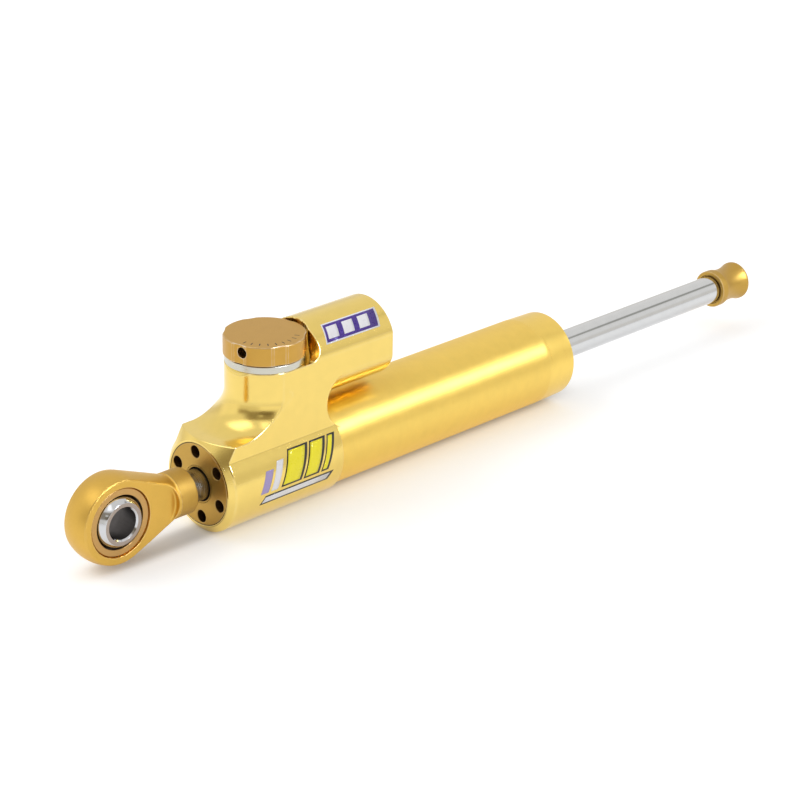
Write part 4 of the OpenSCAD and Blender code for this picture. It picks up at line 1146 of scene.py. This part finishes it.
class DAMPER_OT_stage(bpy.types.Operator):
    """Floor, room light, softbox and camera"""
    bl_idname = "damper.stage"
    bl_label = "Studio"

    def execute(self, context):
        scene = context.scene
        stage = scene.damper_stage
        scene.view_settings.view_transform = "Standard"
        self.make_floor(stage)
        scene.world = self.make_room(stage)
        self.make_softbox("back_softbox", 138, 48, 34, 26, stage.back_light)
        scene.camera = self.make_camera()
        return {"FINISHED"}

    def make_floor(self, stage):
        """Pale floor whose white is part glow and part light, so that a shadow shows on it, with a painted
        shadow in a narrow strip under the part's rest place."""
        count = 9
        u, v = stage.floor_half*np.array(np.meshgrid(*2*[np.linspace(-1, 1, count)], indexing="ij"))
        points = np.stack([u, v, 0*u + stage.floor_z], axis=2).reshape(-1, 3)
        up = 0*points + (0, 0, 1)
        mesh = make_mesh("studio_floor", points, grid_quads(count, count), up, np.zeros(len(points)))
        floor = linked("studio_floor", mesh)
        material = bpy.data.materials.new("studio_floor")
        net = Net(material)
        place = net.add("TexCoord").outputs["Object"]
        away = net.vector("LENGTH", place)
        near = net.ramp(net.noise(place, 3.0), (0.3, (0.83, 0.83, 0.83)), (0.7, (0.85, 0.85, 0.85)))
        pale = net.mix(net.step(away, 0.12, 0.45, 0.0, 1.0), near, (0.66, 0.66, 0.66, 1.0))
        camera = net.add("LightPath").outputs["Is Camera Ray"]
        white = net.math("MULTIPLY", camera, net.step(away, 0.2, 0.6, 0.0, 1.0))
        parts = net.apart(place)
        middle, half = 0.5*(X_EYE + X_TAIL), 0.5*(X_TAIL - X_EYE)
        along = net.math("ABSOLUTE", net.math("SUBTRACT", parts["X"], middle))
        # Painted shadow: a fixed strip along x under the part's rest place.
        beside = net.step(net.math("ABSOLUTE", parts["Y"]), 0.001, 0.009, 1.0, 0.0)
        under = net.math("MULTIPLY", beside, net.step(along, half - 0.01, half + 0.02, 1.0, 0.0))
        # Painted shadow: the strip's colour is pulled halfway towards a dark warm grey.
        pale = net.mix(net.math("MULTIPLY", under, 0.5), pale, (0.34, 0.31, 0.27, 1.0))
        matt = net.add("BsdfDiffuse", {"Color": pale})
        # Painted shadow: the glow falls to about a third in the strip.
        shade = net.step(under, 0.0, 1.0, stage.glow, 0.35*stage.glow)
        level = net.math("ADD", white, net.math("MULTIPLY", self.shown(net), shade))
        glow = net.add("Emission", {"Color": (1.0, 1.0, 1.0, 1.0), "Strength": level})
        both = net.add("AddShader", {0: matt.outputs[0], 1: glow.outputs[0]})
        net.add("OutputMaterial", {"Surface": both.outputs[0]})
        floor.data.materials.append(material)

    def shown(self, net):
        """One for what the camera sees, straight or through gloss and glass, and nothing for the light."""
        path = net.add("LightPath").outputs
        shiny = net.math("MAXIMUM", path["Is Glossy Ray"], path["Is Transmission Ray"])
        return net.math("MAXIMUM", shiny, path["Is Camera Ray"])

    def make_room(self, stage):
        """White for the camera. Reflections show nearly white walls with a bright window at the side, patches
        of pale and of dim wall, darkest high up towards the camera, and two soft lamps overhead."""
        world = bpy.data.worlds.new("studio_room")
        net = Net(world)
        way = net.add("TexCoord").outputs["Generated"]
        height = net.math("ARCSINE", net.apart(way)["Z"])
        rise = net.math("MULTIPLY_ADD", height, 1/np.pi, 0.5)
        flat = net.vector("NORMALIZE", net.vector("MULTIPLY", way, (1.0, 1.0, 0.0)))

        def towards(turn, half, soft):
            """One within half degrees of a compass turn, fading over soft degrees."""
            aim = (np.cos(np.radians(turn)), np.sin(np.radians(turn)), 0.0)
            near = net.vector("DOT_PRODUCT", flat, aim)
            return net.step(near, np.cos(np.radians(half + soft)), np.cos(np.radians(half - soft)), 0.0, 1.0)

        def between(low, high, soft):
            """One between two heights in degrees, fading over soft degrees."""
            over = net.step(height, np.radians(low - soft), np.radians(low + soft), 0.0, 1.0)
            under = net.step(height, np.radians(high - soft), np.radians(high + soft), 1.0, 0.0)
            return net.math("MULTIPLY", over, under)

        warm = np.array([1.0, 0.965, 0.90])
        walls = [(0.49, 1.0), (0.505, 0.85), (0.56, 0.83), (0.61, 0.94), (1.0, 0.92)]
        seen = net.ramp(rise, *[(at, tuple(level*(1 - (1 - warm)*(1 - level)*5))) for at, level in walls])
        # Each patch: its compass turn with half its width, its two heights, and its colour.
        patches = [
            (towards(-105, 40, 10), between(-4, 12, 4), (1.1, 1.09, 1.07)),
            (towards(128, 26, 10), between(-4, 25, 5), (1.08, 1.07, 1.04)),
            (towards(170, 12, 7), between(11, 24, 4), (0.45, 0.40, 0.33)),
            (towards(-145, 38, 14), between(16, 44, 4), (0.34, 0.30, 0.24)),
            (towards(-128, 18, 8), between(17, 29, 3), (0.21, 0.175, 0.125)),
            (towards(-143, 5, 3), between(29, 34, 2), (0.9, 0.9, 0.85)),
            (towards(-130, 14, 6), between(51, 75, 4), (1.6, 1.6, 1.6)),
            (towards(150, 32, 12), between(46, 66, 9), (2.3, 2.3, 2.3)),
            (towards(-20, 6, 4), between(35, 43, 2.5), (0.40, 0.40, 0.37)),
        ]
        for beside, above, tint in patches:
            seen = net.mix(net.math("MULTIPLY", beside, above), seen, (*tint, 1.0))
        path = net.add("LightPath").outputs
        white = net.mix(path["Is Camera Ray"], seen, (1.0, 1.0, 1.0, 1.0))
        first = net.math("LESS_THAN", path["Diffuse Depth"], 0.5)
        straight = net.math("MULTIPLY", path["Is Glossy Ray"], first)
        window = net.math("MULTIPLY", towards(-76, 9, 2), between(29, 46, 3.5))
        window = net.math("MULTIPLY", straight, window)
        white = net.mix(window, white, (0.86, 0.97, 1.18, 1.0))
        level = net.math("MULTIPLY_ADD", window, stage.window - 1, 1.0)
        bright = net.add("Background", {"Color": white, "Strength": level})
        dim = net.add("Background", {"Color": (1.0, 1.0, 1.0, 1.0), "Strength": stage.fill})
        both = net.add("MixShader", {0: self.shown(net), 1: dim.outputs[0], 2: bright.outputs[0]})
        net.add("OutputWorld", {"Surface": both.outputs[0]})
        return world

    def make_softbox(self, name, turn, rise, wide, tall, brightness):
        """Area lamp two metres away, at a compass turn and rise, its width and height also in degrees."""
        away = 2.0
        lamp = bpy.data.lights.new(name, "AREA")
        lamp.shape = "RECTANGLE"
        lamp.size = 2*away*np.tan(np.radians(wide/2))
        lamp.size_y = 2*away*np.tan(np.radians(tall/2))
        lamp.energy = brightness*np.pi*lamp.size*lamp.size_y
        box = linked(name, lamp)
        box.visible_camera = False
        box.visible_glossy = False
        turn = np.radians(turn)
        aim = heading(turn, np.radians(rise))
        across = np.array([-np.sin(turn), np.cos(turn), 0])
        stand(box, [across, np.cross(aim, across), aim], away*aim)

    def make_camera(self):
        """Camera at the photograph's angle, from its yaw, pitch, roll and place."""
        data = bpy.data.cameras.new("camera")
        data.lens = 111.659
        data.sensor_width = 36.0
        data.clip_start = 0.01
        data.clip_end = 50.0
        camera = linked("camera", data)
        yaw, pitch, roll = 0.7833, -0.4099, 0.0189
        forward = heading(yaw, pitch)
        right = np.array([np.sin(yaw), -np.cos(yaw), 0.0])
        up = np.cross(right, forward)
        across, over = right*np.cos(roll) + up*np.sin(roll), up*np.cos(roll) - right*np.sin(roll)
        stand(camera, [across, over, -forward], (-0.549520, -0.525699, 0.326325))
        return camera


OPERATORS = (DAMPER_OT_stage, DAMPER_OT_node_finishes, DAMPER_OT_cylinder_tube, DAMPER_OT_valve_block,
             DAMPER_OT_glands, DAMPER_OT_rod, DAMPER_OT_rod_eye, DAMPER_OT_bearing, DAMPER_OT_knob,
             DAMPER_OT_end_cap, DAMPER_OT_springs, DAMPER_OT_labels)


class DAMPER_PT_panel(bpy.types.Panel):
    """Lists the damper's pieces"""
    bl_label = "Steering Damper"
    bl_idname = "DAMPER_PT_panel"
    bl_space_type = "VIEW_3D"
    bl_region_type = "UI"
    bl_category = "Damper"

    def draw(self, context):
        for operator in OPERATORS:
            self.layout.operator(operator.bl_idname)


CLASSES = (DamperSizes, DamperFinishes, DamperStage, *OPERATORS, DAMPER_PT_panel)


def register():
    for made in CLASSES:
        bpy.utils.register_class(made)
    bpy.types.Scene.damper_sizes = bpy.props.PointerProperty(type=DamperSizes)
    bpy.types.Scene.damper_finishes = bpy.props.PointerProperty(type=DamperFinishes)
    bpy.types.Scene.damper_stage = bpy.props.PointerProperty(type=DamperStage)


def unregister():
    del bpy.types.Scene.damper_stage
    del bpy.types.Scene.damper_finishes
    del bpy.types.Scene.damper_sizes
    for made in reversed(CLASSES):
        bpy.utils.unregister_class(made)


def main():
    register()
    bpy.ops.damper.stage()
    bpy.ops.damper.node_finishes()
    bpy.ops.damper.cylinder_tube()
    bpy.ops.damper.valve_block()
    bpy.ops.damper.glands()
    bpy.ops.damper.rod()
    bpy.ops.damper.rod_eye()
    bpy.ops.damper.bearing()
    bpy.ops.damper.knob()
    bpy.ops.damper.end_cap()
    bpy.ops.damper.springs()
    bpy.ops.damper.labels()


if __name__ == "__main__":
    main()
